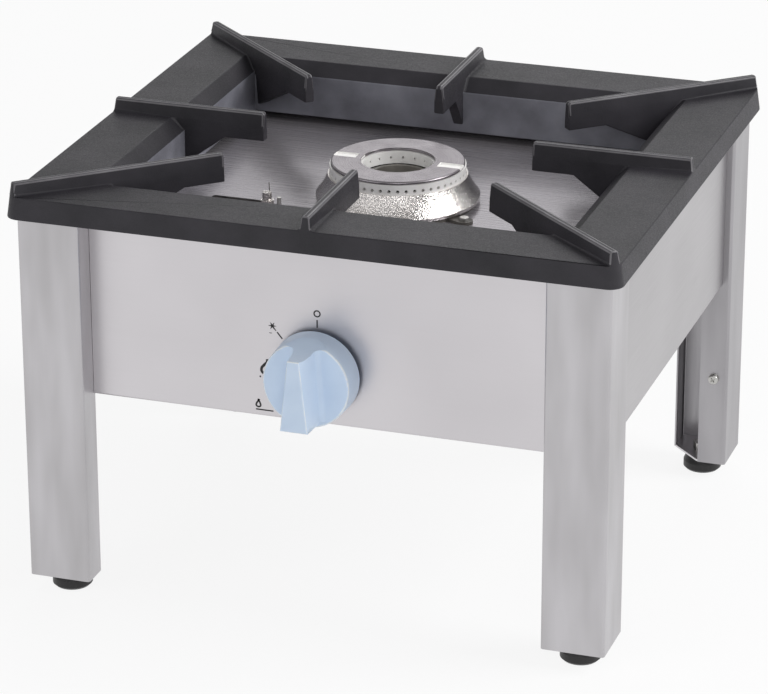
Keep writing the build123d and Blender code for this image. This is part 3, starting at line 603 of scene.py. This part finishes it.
def round_edges(
    mesh: BMesh, width: float, segments: int, sharper_than: float, hollow: bool = False, above: float = 0.0
) -> list[BMFace]:
    """Round a mesh's sharp edges.

    Args:
        mesh: The mesh.
        width: Width of the rounding.
        segments: Faces across it.
        sharper_than: Angle in degrees from which an edge is rounded.
        hollow: Whether the inner corners are rounded instead of the outer ones.
        above: Height from which edges are rounded.

    Returns:
        The faces of the rounding.
    """
    limit = math.radians(sharper_than)
    sharp = [
        edge
        for edge in mesh.edges
        if edge.is_manifold
        and edge.calc_face_angle() > limit
        and edge.is_convex is not hollow
        and min(vert.co.z for vert in edge.verts) >= above
    ]
    result = bmesh.ops.bevel(
        mesh,
        geom=sharp,
        offset=width,
        offset_type="OFFSET",
        segments=segments,
        profile=0.5,
        affect="EDGES",
        clamp_overlap=False,
        material=-1,
    )
    return result["faces"]


def turned_shape(profile: list[Spot], centre: Point, steps: int, axis: Point = (0.0, 0.0, 1.0)) -> BMesh:
    """Spin a closed profile into a turned part.

    Args:
        profile: Points as radius and place along the axis, going round the section once.
        centre: Point on the axis.
        steps: Faces round the part.
        axis: Direction of the axis.

    Returns:
        The turned mesh.
    """
    turned = bmesh.new()
    start = Vector(centre)
    along = Vector(axis).normalized()
    out = along.orthogonal().normalized()
    points = [turned.verts.new(start + out * radius + along * height) for radius, height in profile]
    edges = [turned.edges.new((points[i], points[(i + 1) % len(points)])) for i in range(len(points))]
    bmesh.ops.spin(
        turned, geom=points + edges, cent=centre, axis=along, angle=math.tau, steps=steps, use_merge=True
    )
    bmesh.ops.remove_doubles(turned, verts=turned.verts, dist=WELD)
    loose = [edge for edge in turned.edges if not edge.link_faces]
    bmesh.ops.delete(turned, geom=loose, context="EDGES")
    return turned


def add_drum(
    mesh: BMesh, sides: int, low_radius: float, high_radius: float, low: float, high: float
) -> None:
    """Add a closed round drum or cone round the Z axis.

    Args:
        mesh: The mesh to add to.
        sides: Faces round the drum.
        low_radius: Radius at its lower end.
        high_radius: Radius at its upper end.
        low: Height of its lower end.
        high: Height of its upper end.
    """
    middle = Matrix.Translation((0.0, 0.0, (low + high) / 2))
    bmesh.ops.create_cone(
        mesh, cap_ends=True, segments=sides, radius1=low_radius, radius2=high_radius, depth=high - low,
        matrix=middle,
    )


# ---------------------------------------------------------------- sub-assemblies


@dataclass
class Casing:
    """Folded stainless body: legs, panels, top plate, foot plates."""

    # Leg that gets the darker copy of the leg finish: painted shade.
    painted_shade_corner: str = "rear_right"

    def dress(self, finishes: Finishes) -> None:
        """Give the sheets their brushed finish; one leg gets a darker copy of it as painted shade.

        Args:
            finishes: The range's finishes.
        """
        for corner in CORNERS:
            painted_shade = corner == self.painted_shade_corner
            dress(f"leg_{corner}", finishes.painted_shade_leg if painted_shade else finishes.leg)
            dress(f"foot_plate_{corner}", finishes.sheet_x)
        for side in ("front", "rear"):
            dress(f"{side}_panel", finishes.sheet_x)
        for side in ("left", "right"):
            dress(f"side_panel_{side}", finishes.sheet_y)
        dress("top_plate", finishes.plate)
        dress("foot_nuts", finishes.zinc)


@dataclass
class Grate:
    """Cast grate with its eight ribs."""

    fillet: float = 0.0032
    fillet_segments: int = 3
    fillets_above: float = 0.3845
    edge_width: float = 0.0011
    edge_segments: int = 2
    sharper_than: float = 24.0
    wear_and_highlight_above: float = 0.3985
    skirt_x: float = 0.214
    skirt_y: float = 0.189
    skirt_top: float = 0.3855
    skirt_slack: float = 0.001
    skirt_facing: float = 0.9

    def build(self, finishes: Finishes) -> None:
        """Fillet the casting's inner corners, round its edges and give the high rounded crests a lighter
        finish, partly wear and partly painted highlight.

        Args:
            finishes: The range's finishes.
        """
        casting = merged_copy("grate")
        for face in casting.faces:
            # The skirt's inner faces get the lighter iron: painted light.
            if self.on_skirt(face):
                face.material_index = 2
        round_edges(
            casting, self.fillet, self.fillet_segments, self.sharper_than,
            hollow=True, above=self.fillets_above,
        )
        # High rounded edges get the lighter iron: wear and painted highlight.
        for face in round_edges(casting, self.edge_width, self.edge_segments, self.sharper_than):
            if face.calc_center_median().z > self.wear_and_highlight_above:
                face.material_index = 1
        bmesh.ops.dissolve_degenerate(casting, dist=WELD, edges=casting.edges)
        irons = (finishes.iron, finishes.worn_and_highlight_iron, finishes.painted_light_skirt_iron)
        piece = make_piece(casting, "grate_casting", "grate", "cast_iron", *irons)
        even_shading(piece)
        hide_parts("grate")

    def on_skirt(self, face: BMFace) -> bool:
        """Tell whether a face is one of the skirt's inner faces, which get a lighter iron as painted light.

        Args:
            face: A face of the casting.

        Returns:
            Whether it is one.
        """
        middle = face.calc_center_median()
        off_side = abs(abs(middle.x) - self.skirt_x)
        off_end = abs(abs(middle.y) - self.skirt_y)
        on_side = off_side < self.skirt_slack and abs(face.normal.x) > self.skirt_facing
        on_end = off_end < self.skirt_slack and abs(face.normal.y) > self.skirt_facing
        return middle.z < self.skirt_top and (on_side or on_end)


@dataclass(frozen=True)
class PortRing:
    """Upright ring wall with a row of round gas ports; its wall is measured inwards.

    The ports have a multiple of eight sides. Each lies in a tile, which takes up a share of
    the wall's height at most.
    """

    node: str
    radius: float
    wall: float
    port_radius: float
    count: int
    low: float = 0.3615
    high: float = 0.3735
    sides: int = 16
    tile_share: float = 0.9

    def build(self, finishes: Finishes) -> None:
        """Make the ring and let it stand for its solid.

        Args:
            finishes: The range's finishes.
        """
        # The ring's near-white finish is partly painted light.
        piece = make_piece(self.mesh(), f"{self.node}_drilled", "casing", "polished_steel", finishes.ring)
        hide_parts(self.node)

    def mesh(self) -> BMesh:
        """Draw one tile flat round its port, repeat it into a strip, wrap that round and thicken it.

        Returns:
            The ring.
        """
        tile = bmesh.new()
        width = math.tau * self.radius / self.count
        half = width / 2
        upright = (self.high - self.low) / 2
        reach = min(half, upright * self.tile_share)
        middle = (self.low + self.high) / 2
        bmesh.ops.create_circle(tile, segments=self.sides, radius=self.port_radius, cap_ends=False)
        for vert in new_verts(bmesh.ops.extrude_edge_only(tile, edges=tile.edges[:])):
            vert.co /= max(abs(vert.co.x), abs(vert.co.y))
            vert.co = Vector((vert.co.x * half, vert.co.y * reach, 0.0))
        for side in (1.0, -1.0):
            border = [
                edge
                for edge in tile.edges
                if all(abs(vert.co.y * side - reach) < WELD for vert in edge.verts)
            ]
            for vert in new_verts(bmesh.ops.extrude_edge_only(tile, edges=border)):
                vert.co.y = side * upright
        whole = tile.verts[:] + tile.edges[:] + tile.faces[:]
        for number in range(1, self.count):
            copy = bmesh.ops.duplicate(tile, geom=whole)
            bmesh.ops.translate(tile, verts=new_verts(copy), vec=(number * width, 0.0, 0.0))
        for vert in tile.verts:
            angle = vert.co.x / self.radius
            x, y = self.radius * math.cos(angle), self.radius * math.sin(angle)
            vert.co = Vector((x, y, middle + vert.co.y))
        bmesh.ops.remove_doubles(tile, verts=tile.verts, dist=WELD)
        bmesh.ops.recalc_face_normals(tile, faces=tile.faces)
        tile.faces.ensure_lookup_table()
        face = tile.faces[0]
        if face.normal.dot(Vector((*face.calc_center_median().xy, 0.0))) < 0:
            bmesh.ops.reverse_faces(tile, faces=tile.faces)
        bmesh.ops.solidify(tile, geom=tile.faces[:], thickness=self.wall)
        return tile


@dataclass
class Burner:
    """Round burner: casting, flare, port rings and cap."""

    rings: tuple[PortRing, ...] = (
        PortRing("outer_port_ring", 0.06475, 0.004, 0.0016, 50),
        PortRing("inner_port_ring", 0.037, 0.0035, 0.0012, 18),
    )
    cap_top: float = 0.3768
    cap_hole: float = 0.0352
    cap_edge: float = 0.0005
    cap_edge_segments: int = 2
    cap_sharper_than: float = 40.0
    notch_half: float = 0.0065
    notch_floor: float = 0.0022
    notch_lip: float = 0.0003

    def build(self, finishes: Finishes) -> None:
        """Drill the rings, give the cap's notches the rings' near-white finish, partly painted light, and
        dress the rest.

        Args:
            finishes: The range's finishes.
        """
        dress("burner_body", finishes.burner_iron)
        dress("mixing_tube", finishes.burner_iron)
        dress("burner_skirt", finishes.flare)
        dress("burner_screws", finishes.zinc)
        for ring in self.rings:
            ring.build(finishes)
        self.build_cap(finishes)

    def build_cap(self, finishes: Finishes) -> None:
        """Widen the cap's hole, round its edges and give its two notches the port rings' near-white finish,
        partly painted light.

        Args:
            finishes: The range's finishes.
        """
        cap = merged_copy("burner_cap")
        for vert in cap.verts:
            if vert.co.xy.length < self.cap_hole:
                vert.co.xy *= self.cap_hole / vert.co.xy.length
        round_edges(cap, self.cap_edge, self.cap_edge_segments, self.cap_sharper_than)
        for face in cap.faces:
            middle = face.calc_center_median()
            below_top = self.cap_top - middle.z
            if abs(middle.y) < self.notch_half and self.notch_lip < below_top < self.notch_floor:
                face.material_index = 1
        # The notches take the port rings' near-white finish, partly painted light.
        polished = (finishes.cap, finishes.ring)
        piece = make_piece(cap, "burner_cap_turned", "burner_cap", "burner_steel", *polished)
        even_shading(piece)
        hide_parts("burner_cap")


@dataclass
class GasTrain:
    """Tap, pipes, jet and air shutter under the plate."""

    brass: tuple[str, ...] = (
        "tap_body", "injector", "injector_holder", "inlet_fitting", "tap_nut", "inlet_nut", "tap_spindle",
    )
    pipes: tuple[str, ...] = ("burner_pipe", "inlet_pipe")
    plated: tuple[str, ...] = ("air_shutter", "injector_bracket", "bracket_screws", "tap_thrust_pin")

    def dress(self, finishes: Finishes) -> None:
        """Give the gas parts their finishes.

        Args:
            finishes: The range's finishes.
        """
        pairs = ((self.brass, finishes.brass), (self.pipes, finishes.pipe), (self.plated, finishes.zinc))
        for nodes, finish in pairs:
            for node in nodes:
                dress(node, finish)


@dataclass
class Pilot:
    """Pilot burner, its tube, its spark wire and the thermocouple."""

    probe_joint: float = 0.33
    probe_drop: float = 0.0135
    wire_foot: Point = (-0.1085, -0.058, 0.346)
    wire_radius: float = 0.0005
    wire_tip_radius: float = 0.0003
    wire_height: float = 0.016
    wire_sides: int = 12

    def build(self, finishes: Finishes) -> None:
        """Shorten the thermocouple, add the spark wire and dress the other parts.

        Args:
            finishes: The range's finishes.
        """
        dress("pilot_burner", finishes.flare)
        dress("pilot_bracket", finishes.tube)
        dress("pilot_tube", finishes.tube)
        probe = merged_copy("thermocouple")
        for vert in probe.verts:
            if vert.co.z > self.probe_joint:
                vert.co.z -= self.probe_drop
        piece = make_piece(probe, "thermocouple_short", "casing", "polished_steel", finishes.zinc)
        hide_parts("thermocouple")
        profile = [
            (0.0, 0.0),
            (self.wire_radius, 0.0),
            (self.wire_radius, self.wire_height - self.wire_radius),
            (self.wire_tip_radius, self.wire_height),
            (0.0, self.wire_height),
        ]
        wire = turned_shape(profile, self.wire_foot, self.wire_sides)
        make_piece(wire, "spark_wire", "casing", "polished_steel", finishes.zinc)


@dataclass
class Knob:
    """Blue control knob.

    Depths run along Y, with the front at the lowest. A share multiplies the radius before it,
    and the two ends lie just past those of the solid, so that all its faces are found.
    """

    axis_height: float = 0.25
    flat: float = 0.01
    back: float = -0.2365
    back_slack: float = 0.0002
    back_corners: int = 8
    floor: float = -0.2505
    hollow_radius: float = 0.039
    hollow_share: float = 1.005
    hollow_end: float = -0.2566
    wall_share: float = 0.8
    wall_facing: float = 0.3
    bore_radius: float = 0.00406
    bore_share: float = 1.2
    bore_end: float = -0.2665
    hub_radius: float = 0.0085
    hub_back: float = -0.2435
    hub_sides: int = 32
    smooth: float = 32.0
    edge_width: float = 0.00045
    edge_bend: float = 0.09
    edge_dent: float = -0.05
    scoop_half: float = 0.016
    scoop_foot: float = 0.266
    scoop_front: float = -0.294

    def build(self, finishes: Finishes) -> None:
        """Close the shell's scoop with a whole wall and make its hollow back anew.

        Args:
            finishes: The range's finishes.
        """
        shell = merged_copy("knob", self.flat)
        bmesh.ops.delete(shell, geom=self.inner_faces(shell), context="FACES")
        open_edges = [edge for edge in shell.edges if edge.is_boundary]
        bmesh.ops.holes_fill(shell, edges=open_edges, sides=0)
        lid = min(self.back_faces(shell), key=lambda face: face.calc_perimeter())
        hollow = bmesh.ops.extrude_face_region(shell, geom=[lid])
        bmesh.ops.translate(shell, verts=new_verts(hollow), vec=(0.0, self.floor - self.back, 0.0))
        bmesh.ops.delete(shell, geom=[lid], context="FACES_ONLY")
        # Narrow edge faces get the lighter blue: painted highlight.
        for face in shell.faces:
            if self.on_edge(face):
                face.material_index = 1
        blues = (finishes.knob, finishes.knob_painted_highlight)
        piece = make_piece(shell, "knob_shell", "knob", "knob_plastic", *blues, smooth=self.smooth)
        even_shading(piece)
        height = self.hub_back - self.floor
        profile = [
            (self.bore_radius, height),
            (self.hub_radius, height),
            (self.hub_radius, 0.0),
            (self.bore_radius, 0.0),
        ]
        hub = turned_shape(profile, (0.0, self.floor, self.axis_height), self.hub_sides, (0.0, 1.0, 0.0))
        make_piece(hub, "knob_hub", "knob", "knob_plastic", finishes.knob)
        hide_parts("knob")

    def back_faces(self, shell: BMesh) -> list[BMFace]:
        """Find the round faces in the plane of the knob's back.

        Args:
            shell: The knob's mesh.

        Returns:
            The faces.
        """
        return [
            face
            for face in shell.faces
            if abs(face.calc_center_median().y - self.back) < self.back_slack
            and len(face.verts) > self.back_corners
        ]

    def on_edge(self, face: BMFace) -> bool:
        """Tell whether a face is one of the narrow faces of the rounded outer edges, which get a painted
        highlight.

        Args:
            face: A face of the knob.

        Returns:
            Whether it is one.
        """
        middle = face.calc_center_median()
        if abs(middle.x) < self.scoop_half and middle.z > self.scoop_foot and middle.y > self.scoop_front:
            return False
        width = 2 * face.calc_area() / max(edge.calc_length() for edge in face.edges)
        bends = [edge.calc_face_angle_signed(0.0) for edge in face.edges if len(edge.link_faces) == 2]
        bent = max(bends, default=0.0) > self.edge_bend and min(bends, default=0.0) > self.edge_dent
        return width < self.edge_width and bent

    def inner_faces(self, shell: BMesh) -> list[BMFace]:
        """Find the faces of the hollow, its hub and the spindle's bore.

        Args:
            shell: Copy of the knob.

        Returns:
            The faces.
        """
        found = []
        for face in shell.faces:
            middle = face.calc_center_median()
            out = Vector((middle.x, 0.0, middle.z - self.axis_height))
            in_bore = out.length < self.bore_radius * self.bore_share and middle.y > self.bore_end
            in_hollow = out.length < self.hollow_radius * self.hollow_share and middle.y > self.hollow_end
            by_wall = out.length > self.hollow_radius * self.wall_share
            faces_out = by_wall and face.normal.dot(out.normalized()) > self.wall_facing
            if in_bore or (in_hollow and not faces_out):
                found.append(face)
        return found


@dataclass(frozen=True)
class Stroke:
    """Straight printed stroke, with its width as a share of the usual one."""

    start: Spot
    end: Spot
    weight: float = 1.0


@dataclass(frozen=True)
class Flame:
    """Printed drop-shaped flame.

    The lean is how far its tip leans as a share of its height, and the weight its line's
    width as a share of the usual one.
    """

    centre: Spot
    half_height: float
    lean: float
    weight: float


@dataclass
class DialMarks:
    """Printed marks round the knob: off, spark, high flame and low flame.

    A spot is given from the knob's axis, sideways and upwards.
    """

    axis_height: float = 0.25
    panel_front: float = -0.231
    ink_depth: float = 0.00008
    stroke: float = 0.0013
    round_sides: int = 28
    off_ring: Spot = (0.0, 0.057)
    off_radius: float = 0.0035
    off_tick: Stroke = Stroke((0.0, 0.0510), (0.0, 0.0435))
    star: Spot = (-0.0430, 0.0400)
    star_radius: float = 0.0042
    star_points: int = 6
    star_waist: float = 0.34
    spark_strokes: tuple[Stroke, ...] = (
        Stroke((-0.0418, 0.0388), (-0.0395, 0.0355), 0.6),
        Stroke((-0.0385, 0.0345), (-0.0335, 0.0285)),
        Stroke((-0.0460, 0.0330), (-0.0435, 0.0328), 0.5),
    )
    high_flame: Flame = Flame((-0.0500, -0.0010), 0.0080, 0.35, 2.0)
    high_tick: Stroke = Stroke((-0.0560, -0.0110), (-0.0545, -0.0110), 1.2)
    low_flame: Flame = Flame((-0.0575, -0.0375), 0.0044, 0.1, 1.25)
    low_tick: Stroke = Stroke((-0.0600, -0.0437), (-0.0430, -0.0438))
    flame_pinch: float = 1.4
    flame_width: float = 0.95

    def build(self, finishes: Finishes) -> None:
        """Print every mark in one piece.

        Args:
            finishes: The range's finishes.
        """
        marks = bmesh.new()
        self.print_ring(marks)
        self.print_stroke(marks, self.off_tick)
        self.print_star(marks)
        for stroke in self.spark_strokes:
            self.print_stroke(marks, stroke)
        self.print_flame(marks, self.high_flame)
        self.print_stroke(marks, self.high_tick)
        self.print_flame(marks, self.low_flame)
        self.print_stroke(marks, self.low_tick)
        make_piece(marks, "dial_marks", "casing", "dark_steel", finishes.ink, turn_outward=False)

    def stamp(self, marks: BMesh, verts: list[BMVert], centre: Spot) -> None:
        """Stand flat faces up on the panel and give them the thickness of ink.

        Args:
            marks: The mesh that holds every mark.
            verts: Points of the new mark, drawn flat round the origin.
            centre: Place of its origin.
        """
        upright = Matrix.Translation((centre[0], self.panel_front, self.axis_height + centre[1]))
        bmesh.ops.transform(marks, verts=verts, matrix=upright @ Matrix.Rotation(math.pi / 2, 4, "X"))
        faces = list({face for vert in verts for face in vert.link_faces})
        front = new_verts(bmesh.ops.extrude_face_region(marks, geom=faces))
        bmesh.ops.translate(marks, verts=front, vec=(0.0, -self.ink_depth, 0.0))
        marks.normal_update()
        mark = list({face for vert in front + verts for face in vert.link_faces})
        bmesh.ops.recalc_face_normals(marks, faces=mark)
        lid = next(face for face in mark if all(vert in front for vert in face.verts))
        if lid.normal.y > 0:
            bmesh.ops.reverse_faces(marks, faces=mark)

    def hollow_out(self, marks: BMesh, disc: list[BMVert], weight: float = 1.0) -> list[BMVert]:
        """Turn a filled outline into a drawn line.

        Args:
            marks: The mesh that holds every mark.
            disc: Points of the filled outline.
            weight: Width of the line as a share of the usual stroke.

        Returns:
            Points of the drawn line.
        """
        face = disc[0].link_faces[0]
        inset = bmesh.ops.inset_individual(marks, faces=[face], thickness=self.stroke * weight)
        inner = list(face.verts)
        bmesh.ops.delete(marks, geom=[face], context="FACES_ONLY")
        known = disc + inner
        return known + [vert for item in inset["faces"] for vert in item.verts if vert not in known]

    def print_ring(self, marks: BMesh) -> None:
        """Print the ring of the off position.

        Args:
            marks: The mesh that holds every mark.
        """
        circle = bmesh.ops.create_circle(
            marks, cap_ends=True, segments=self.round_sides, radius=self.off_radius
        )
        self.stamp(marks, self.hollow_out(marks, circle["verts"]), self.off_ring)

    def print_stroke(self, marks: BMesh, stroke: Stroke) -> None:
        """Print a straight stroke.

        Args:
            marks: The mesh that holds every mark.
            stroke: The stroke.
        """
        start, end = Vector(stroke.start), Vector(stroke.end)
        run = end - start
        shape = Matrix.Rotation(math.atan2(run.y, run.x), 4, "Z") @ Matrix.Diagonal(
            (run.length / 2, self.stroke * stroke.weight / 2, 1.0, 1.0)
        )
        grid = bmesh.ops.create_grid(marks, x_segments=1, y_segments=1, size=1.0, matrix=shape)
        middle = (start + end) / 2
        self.stamp(marks, grid["verts"], (middle.x, middle.y))

    def print_star(self, marks: BMesh) -> None:
        """Print the spark's star.

        Args:
            marks: The mesh that holds every mark.
        """
        sides = 2 * self.star_points
        circle = bmesh.ops.create_circle(marks, cap_ends=True, segments=sides, radius=self.star_radius)
        for vert in circle["verts"][::2]:
            vert.co *= self.star_waist
        self.stamp(marks, circle["verts"], self.star)

    def print_flame(self, marks: BMesh, flame: Flame) -> None:
        """Print a drop-shaped flame.

        Args:
            marks: The mesh that holds every mark.
            flame: The flame.
        """
        circle = bmesh.ops.create_circle(
            marks, cap_ends=True, segments=self.round_sides, radius=flame.half_height
        )
        for vert in circle["verts"]:
            turn = abs(math.atan2(vert.co.x, vert.co.y))
            slim = vert.co.x * math.sin(turn / 2) ** self.flame_pinch * self.flame_width
            vert.co.x = slim + flame.lean * max(vert.co.y, 0.0)
        self.stamp(marks, self.hollow_out(marks, circle["verts"], flame.weight), flame.centre)


@dataclass
class Feet:
    """Levelling feet and their studs."""

    corners: tuple[str, ...] = CORNERS

    def dress(self, finishes: Finishes) -> None:
        """Give the feet their finishes.

        Args:
            finishes: The range's finishes.
        """
        for corner in self.corners:
            dress(f"foot_pad_{corner}", finishes.foot)
            dress(f"foot_stud_{corner}", finishes.zinc)


@dataclass
class Bonding:
    """Bonding screw and nut in the rear right leg."""

    place: Point = (0.266, 0.196, 0.110)
    turn: float = 0.6
    head_radius: float = 0.0052
    head_height: float = 0.0034
    head_sides: int = 24
    head_top: float = 0.99
    dome: float = 0.00153
    dome_segments: int = 3
    dome_sharper_than: float = 60.0
    arm: float = 0.0026
    slit: float = 0.0011
    slit_draft: float = 0.00011
    recess: float = 0.0016
    washer_radius: float = 0.0055
    washer_height: float = 0.0006
    washer_sides: int = 32
    shank_radius: float = 0.003
    shank_end_radius: float = 0.0024
    shank_length: float = 0.014
    shank_sides: int = 20

    def build(self, finishes: Finishes) -> None:
        """Make the screw with its washer and cross recess, and plate the nut.

        Args:
            finishes: The range's finishes.
        """
        screw = self.crossed_head()
        bmesh.ops.translate(screw, verts=screw.verts, vec=(0.0, 0.0, self.washer_height))
        add_drum(screw, self.washer_sides, self.washer_radius, self.washer_radius, 0.0, self.washer_height)
        add_drum(screw, self.shank_sides, self.shank_end_radius, self.shank_radius, -self.shank_length, 0.0)
        upright = Matrix.Rotation(math.pi / 2, 4, "X") @ Matrix.Rotation(self.turn, 4, "Z")
        bmesh.ops.transform(screw, verts=screw.verts, matrix=Matrix.Translation(self.place) @ upright)
        piece = make_piece(screw, "bonding_screw_crossed", "casing", "zinc_steel", finishes.zinc)
        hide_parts("bonding_screw")
        dress("bonding_nut", finishes.zinc)

    def crossed_head(self) -> BMesh:
        """Make the domed head with its underside on the ground and its cross recess upwards.

        Returns:
            The head.
        """
        head = bmesh.new()
        add_drum(head, self.head_sides, self.head_radius, self.head_radius, 0.0, self.head_height)
        top = self.head_height * self.head_top
        round_edges(head, self.dome, self.dome_segments, self.dome_sharper_than, above=top)
        for place in (-self.arm, -self.slit / 2, self.slit / 2, self.arm):
            for normal in (Vector((1.0, 0.0, 0.0)), Vector((0.0, 1.0, 0.0))):
                flat = [face for face in head.faces if face.calc_center_median().z > top]
                parts = {item for face in flat for item in (face, *face.edges, *face.verts)}
                bmesh.ops.bisect_plane(head, geom=list(parts), plane_co=normal * place, plane_no=normal)
        recess = []
        for face in head.faces:
            middle = face.calc_center_median()
            narrow, wide = sorted((abs(middle.x), abs(middle.y)))
            if middle.z > top and narrow < self.slit / 2 and wide < self.arm:
                recess.append(face)
        bmesh.ops.inset_region(head, faces=recess, thickness=self.slit_draft, depth=-self.recess)
        return head


# ---------------------------------------------------------------- studio


def seen_rays(tree: NodeTree) -> NodeSocket:
    """Tell rays that show the surround from rays that only light the object.

    Args:
        tree: The node tree to add to.

    Returns:
        A socket that is 1 for camera, glossy and transmission rays.
    """
    path = tree.nodes.new("ShaderNodeLightPath")
    pair = larger(tree, path.outputs["Is Camera Ray"], path.outputs["Is Glossy Ray"])
    return larger(tree, pair, path.outputs["Is Transmission Ray"])


@dataclass(frozen=True)
class Lamp:
    """Square soft lamp with the length of its side and its output in watts."""

    name: str
    place: Point
    size: float
    power: float
    aim: Point = (0.0, 0.0, 0.2)

    def hang(self) -> None:
        """Hang the lamp and turn it to the range."""
        light = bpy.data.lights.new(self.name, "AREA")
        light.shape = "SQUARE"
        light.size = self.size
        light.energy = self.power
        lamp = bpy.data.objects.new(self.name, light)
        lamp.location = self.place
        direction = Vector(self.aim) - Vector(self.place)
        lamp.rotation_euler = direction.to_track_quat("-Z", "Y").to_euler()
        bpy.context.collection.objects.link(lamp)


@dataclass
class Studio:
    """Pale floor, soft lamps and a white surround that darkens towards the ceiling."""

    floor_size: float = 14.0
    floor_tone: Colour = tone(246, 246, 247)
    floor_roughness: float = 0.9
    floor_glow: float = 0.88
    ambient: float = 0.34
    ceiling: float = 0.34
    white_below: float = 0.06
    dark_above: float = 0.42
    lamps: tuple[Lamp, ...] = (
        Lamp("key_lamp", (3.6, 0.4, 2.8), 2.2, 125.0),
        Lamp("fill_lamp", (-2.2, -3.6, 2.2), 2.6, 23.0),
        Lamp("front_lamp", (1.3, -3.8, 2.1), 1.6, 22.0),
        Lamp("back_lamp", (-0.6, 3.4, 3.0), 2.4, 30.0),
    )

    def build(self) -> None:
        """Lay the floor, light the surround and hang the lamps."""
        self.lay_floor()
        self.light_world()
        for lamp in self.lamps:
            lamp.hang()

    def lay_floor(self) -> None:
        """Lay a plain white floor that keeps a soft shadow under the feet."""
        plane = bmesh.new()
        bmesh.ops.create_grid(plane, x_segments=2, y_segments=2, size=self.floor_size / 2)
        mesh = bpy.data.meshes.new("studio_floor")
        plane.to_mesh(mesh)
        plane.free()
        mesh.materials.append(self.floor_material())
        floor = bpy.data.objects.new("studio_floor", mesh)
        bpy.context.collection.objects.link(floor)

    def floor_material(self) -> Material:
        """Mix the floor's plain paint with the glow that keeps it white where it is seen.

        Returns:
            The material.
        """
        recipe = Recipe("studio_floor")
        recipe.base(0.0, self.floor_roughness, 0.0)
        recipe.surface.inputs["Base Color"].default_value = (*self.floor_tone, 1.0)
        glow = add_node(recipe.tree, "ShaderNodeEmission", Color=(1.0, 1.0, 1.0, 1.0))
        share = recipe.tree.nodes.new("ShaderNodeMath")
        share.operation = "MULTIPLY"
        share.inputs[1].default_value = self.floor_glow
        mix = recipe.tree.nodes.new("ShaderNodeMixShader")
        recipe.wire(seen_rays(recipe.tree), share.inputs[0])
        recipe.wire(share.outputs[0], mix.inputs["Fac"])
        recipe.wire(recipe.surface.outputs[0], mix.inputs[1])
        recipe.wire(glow.outputs[0], mix.inputs[2])
        recipe.wire(mix.outputs[0], recipe.tree.nodes["Material Output"].inputs["Surface"])
        return recipe.material

    def light_world(self) -> None:
        """Light the object softly, and show a white surround under a dim ceiling."""
        world = bpy.data.worlds.new("studio")
        world.use_nodes = True
        tree = world.node_tree
        tree.nodes.clear()
        join = tree.links.new
        direction = tree.nodes.new("ShaderNodeTexCoord")
        split = tree.nodes.new("ShaderNodeSeparateXYZ")
        join(direction.outputs["Generated"], split.inputs[0])
        height = add_node(
            tree, "ShaderNodeMapRange",
            From_Min=self.white_below, From_Max=self.dark_above, To_Min=1.0, To_Max=self.ceiling,
        )
        join(split.outputs["Z"], height.inputs["Value"])
        path = tree.nodes.new("ShaderNodeLightPath")
        level = larger(tree, height.outputs["Result"], path.outputs["Is Camera Ray"])
        white = (1.0, 1.0, 1.0, 1.0)
        soft = add_node(tree, "ShaderNodeBackground", Color=white, Strength=self.ambient)
        shown = add_node(tree, "ShaderNodeBackground", Color=white)
        join(level, shown.inputs["Strength"])
        mix = tree.nodes.new("ShaderNodeMixShader")
        output = tree.nodes.new("ShaderNodeOutputWorld")
        join(seen_rays(tree), mix.inputs["Fac"])
        join(soft.outputs[0], mix.inputs[1])
        join(shown.outputs[0], mix.inputs[2])
        join(mix.outputs[0], output.inputs["Surface"])
        bpy.context.scene.world = world


@dataclass
class PhotoCamera:
    """Camera that stood where the photograph was taken."""

    place: Point = (1.07386, -3.23604, 1.57034)
    yaw: float = 0.32372
    pitch: float = 0.38573
    roll: float = 0.00161
    lens_mm: float = 179.03
    sensor_mm: float = 36.0
    nearest: float = 0.1
    farthest: float = 100.0

    def build(self) -> None:
        """Set up the camera and make it the scene's own."""
        data = bpy.data.cameras.new("photo_camera")
        data.sensor_width = self.sensor_mm
        data.lens = self.lens_mm
        data.clip_start = self.nearest
        data.clip_end = self.farthest
        camera = bpy.data.objects.new("photo_camera", data)
        camera.location = self.place
        camera.rotation_euler = (math.pi / 2 - self.pitch, self.roll, self.yaw)
        bpy.context.collection.objects.link(camera)
        bpy.context.scene.camera = camera


def main() -> None:
    """Build the range's pieces in order, then the studio and the camera."""
    logging.basicConfig(level=logging.INFO, format="%(name)s: %(message)s")
    bpy.context.scene.view_settings.view_transform = "Standard"
    finishes = Finishes()
    Casing().dress(finishes)
    Grate().build(finishes)
    Burner().build(finishes)
    GasTrain().dress(finishes)
    Pilot().build(finishes)
    Knob().build(finishes)
    DialMarks().build(finishes)
    Feet().dress(finishes)
    Bonding().build(finishes)
    Studio().build()
    PhotoCamera().build()


if __name__ == "__main__":
    main()
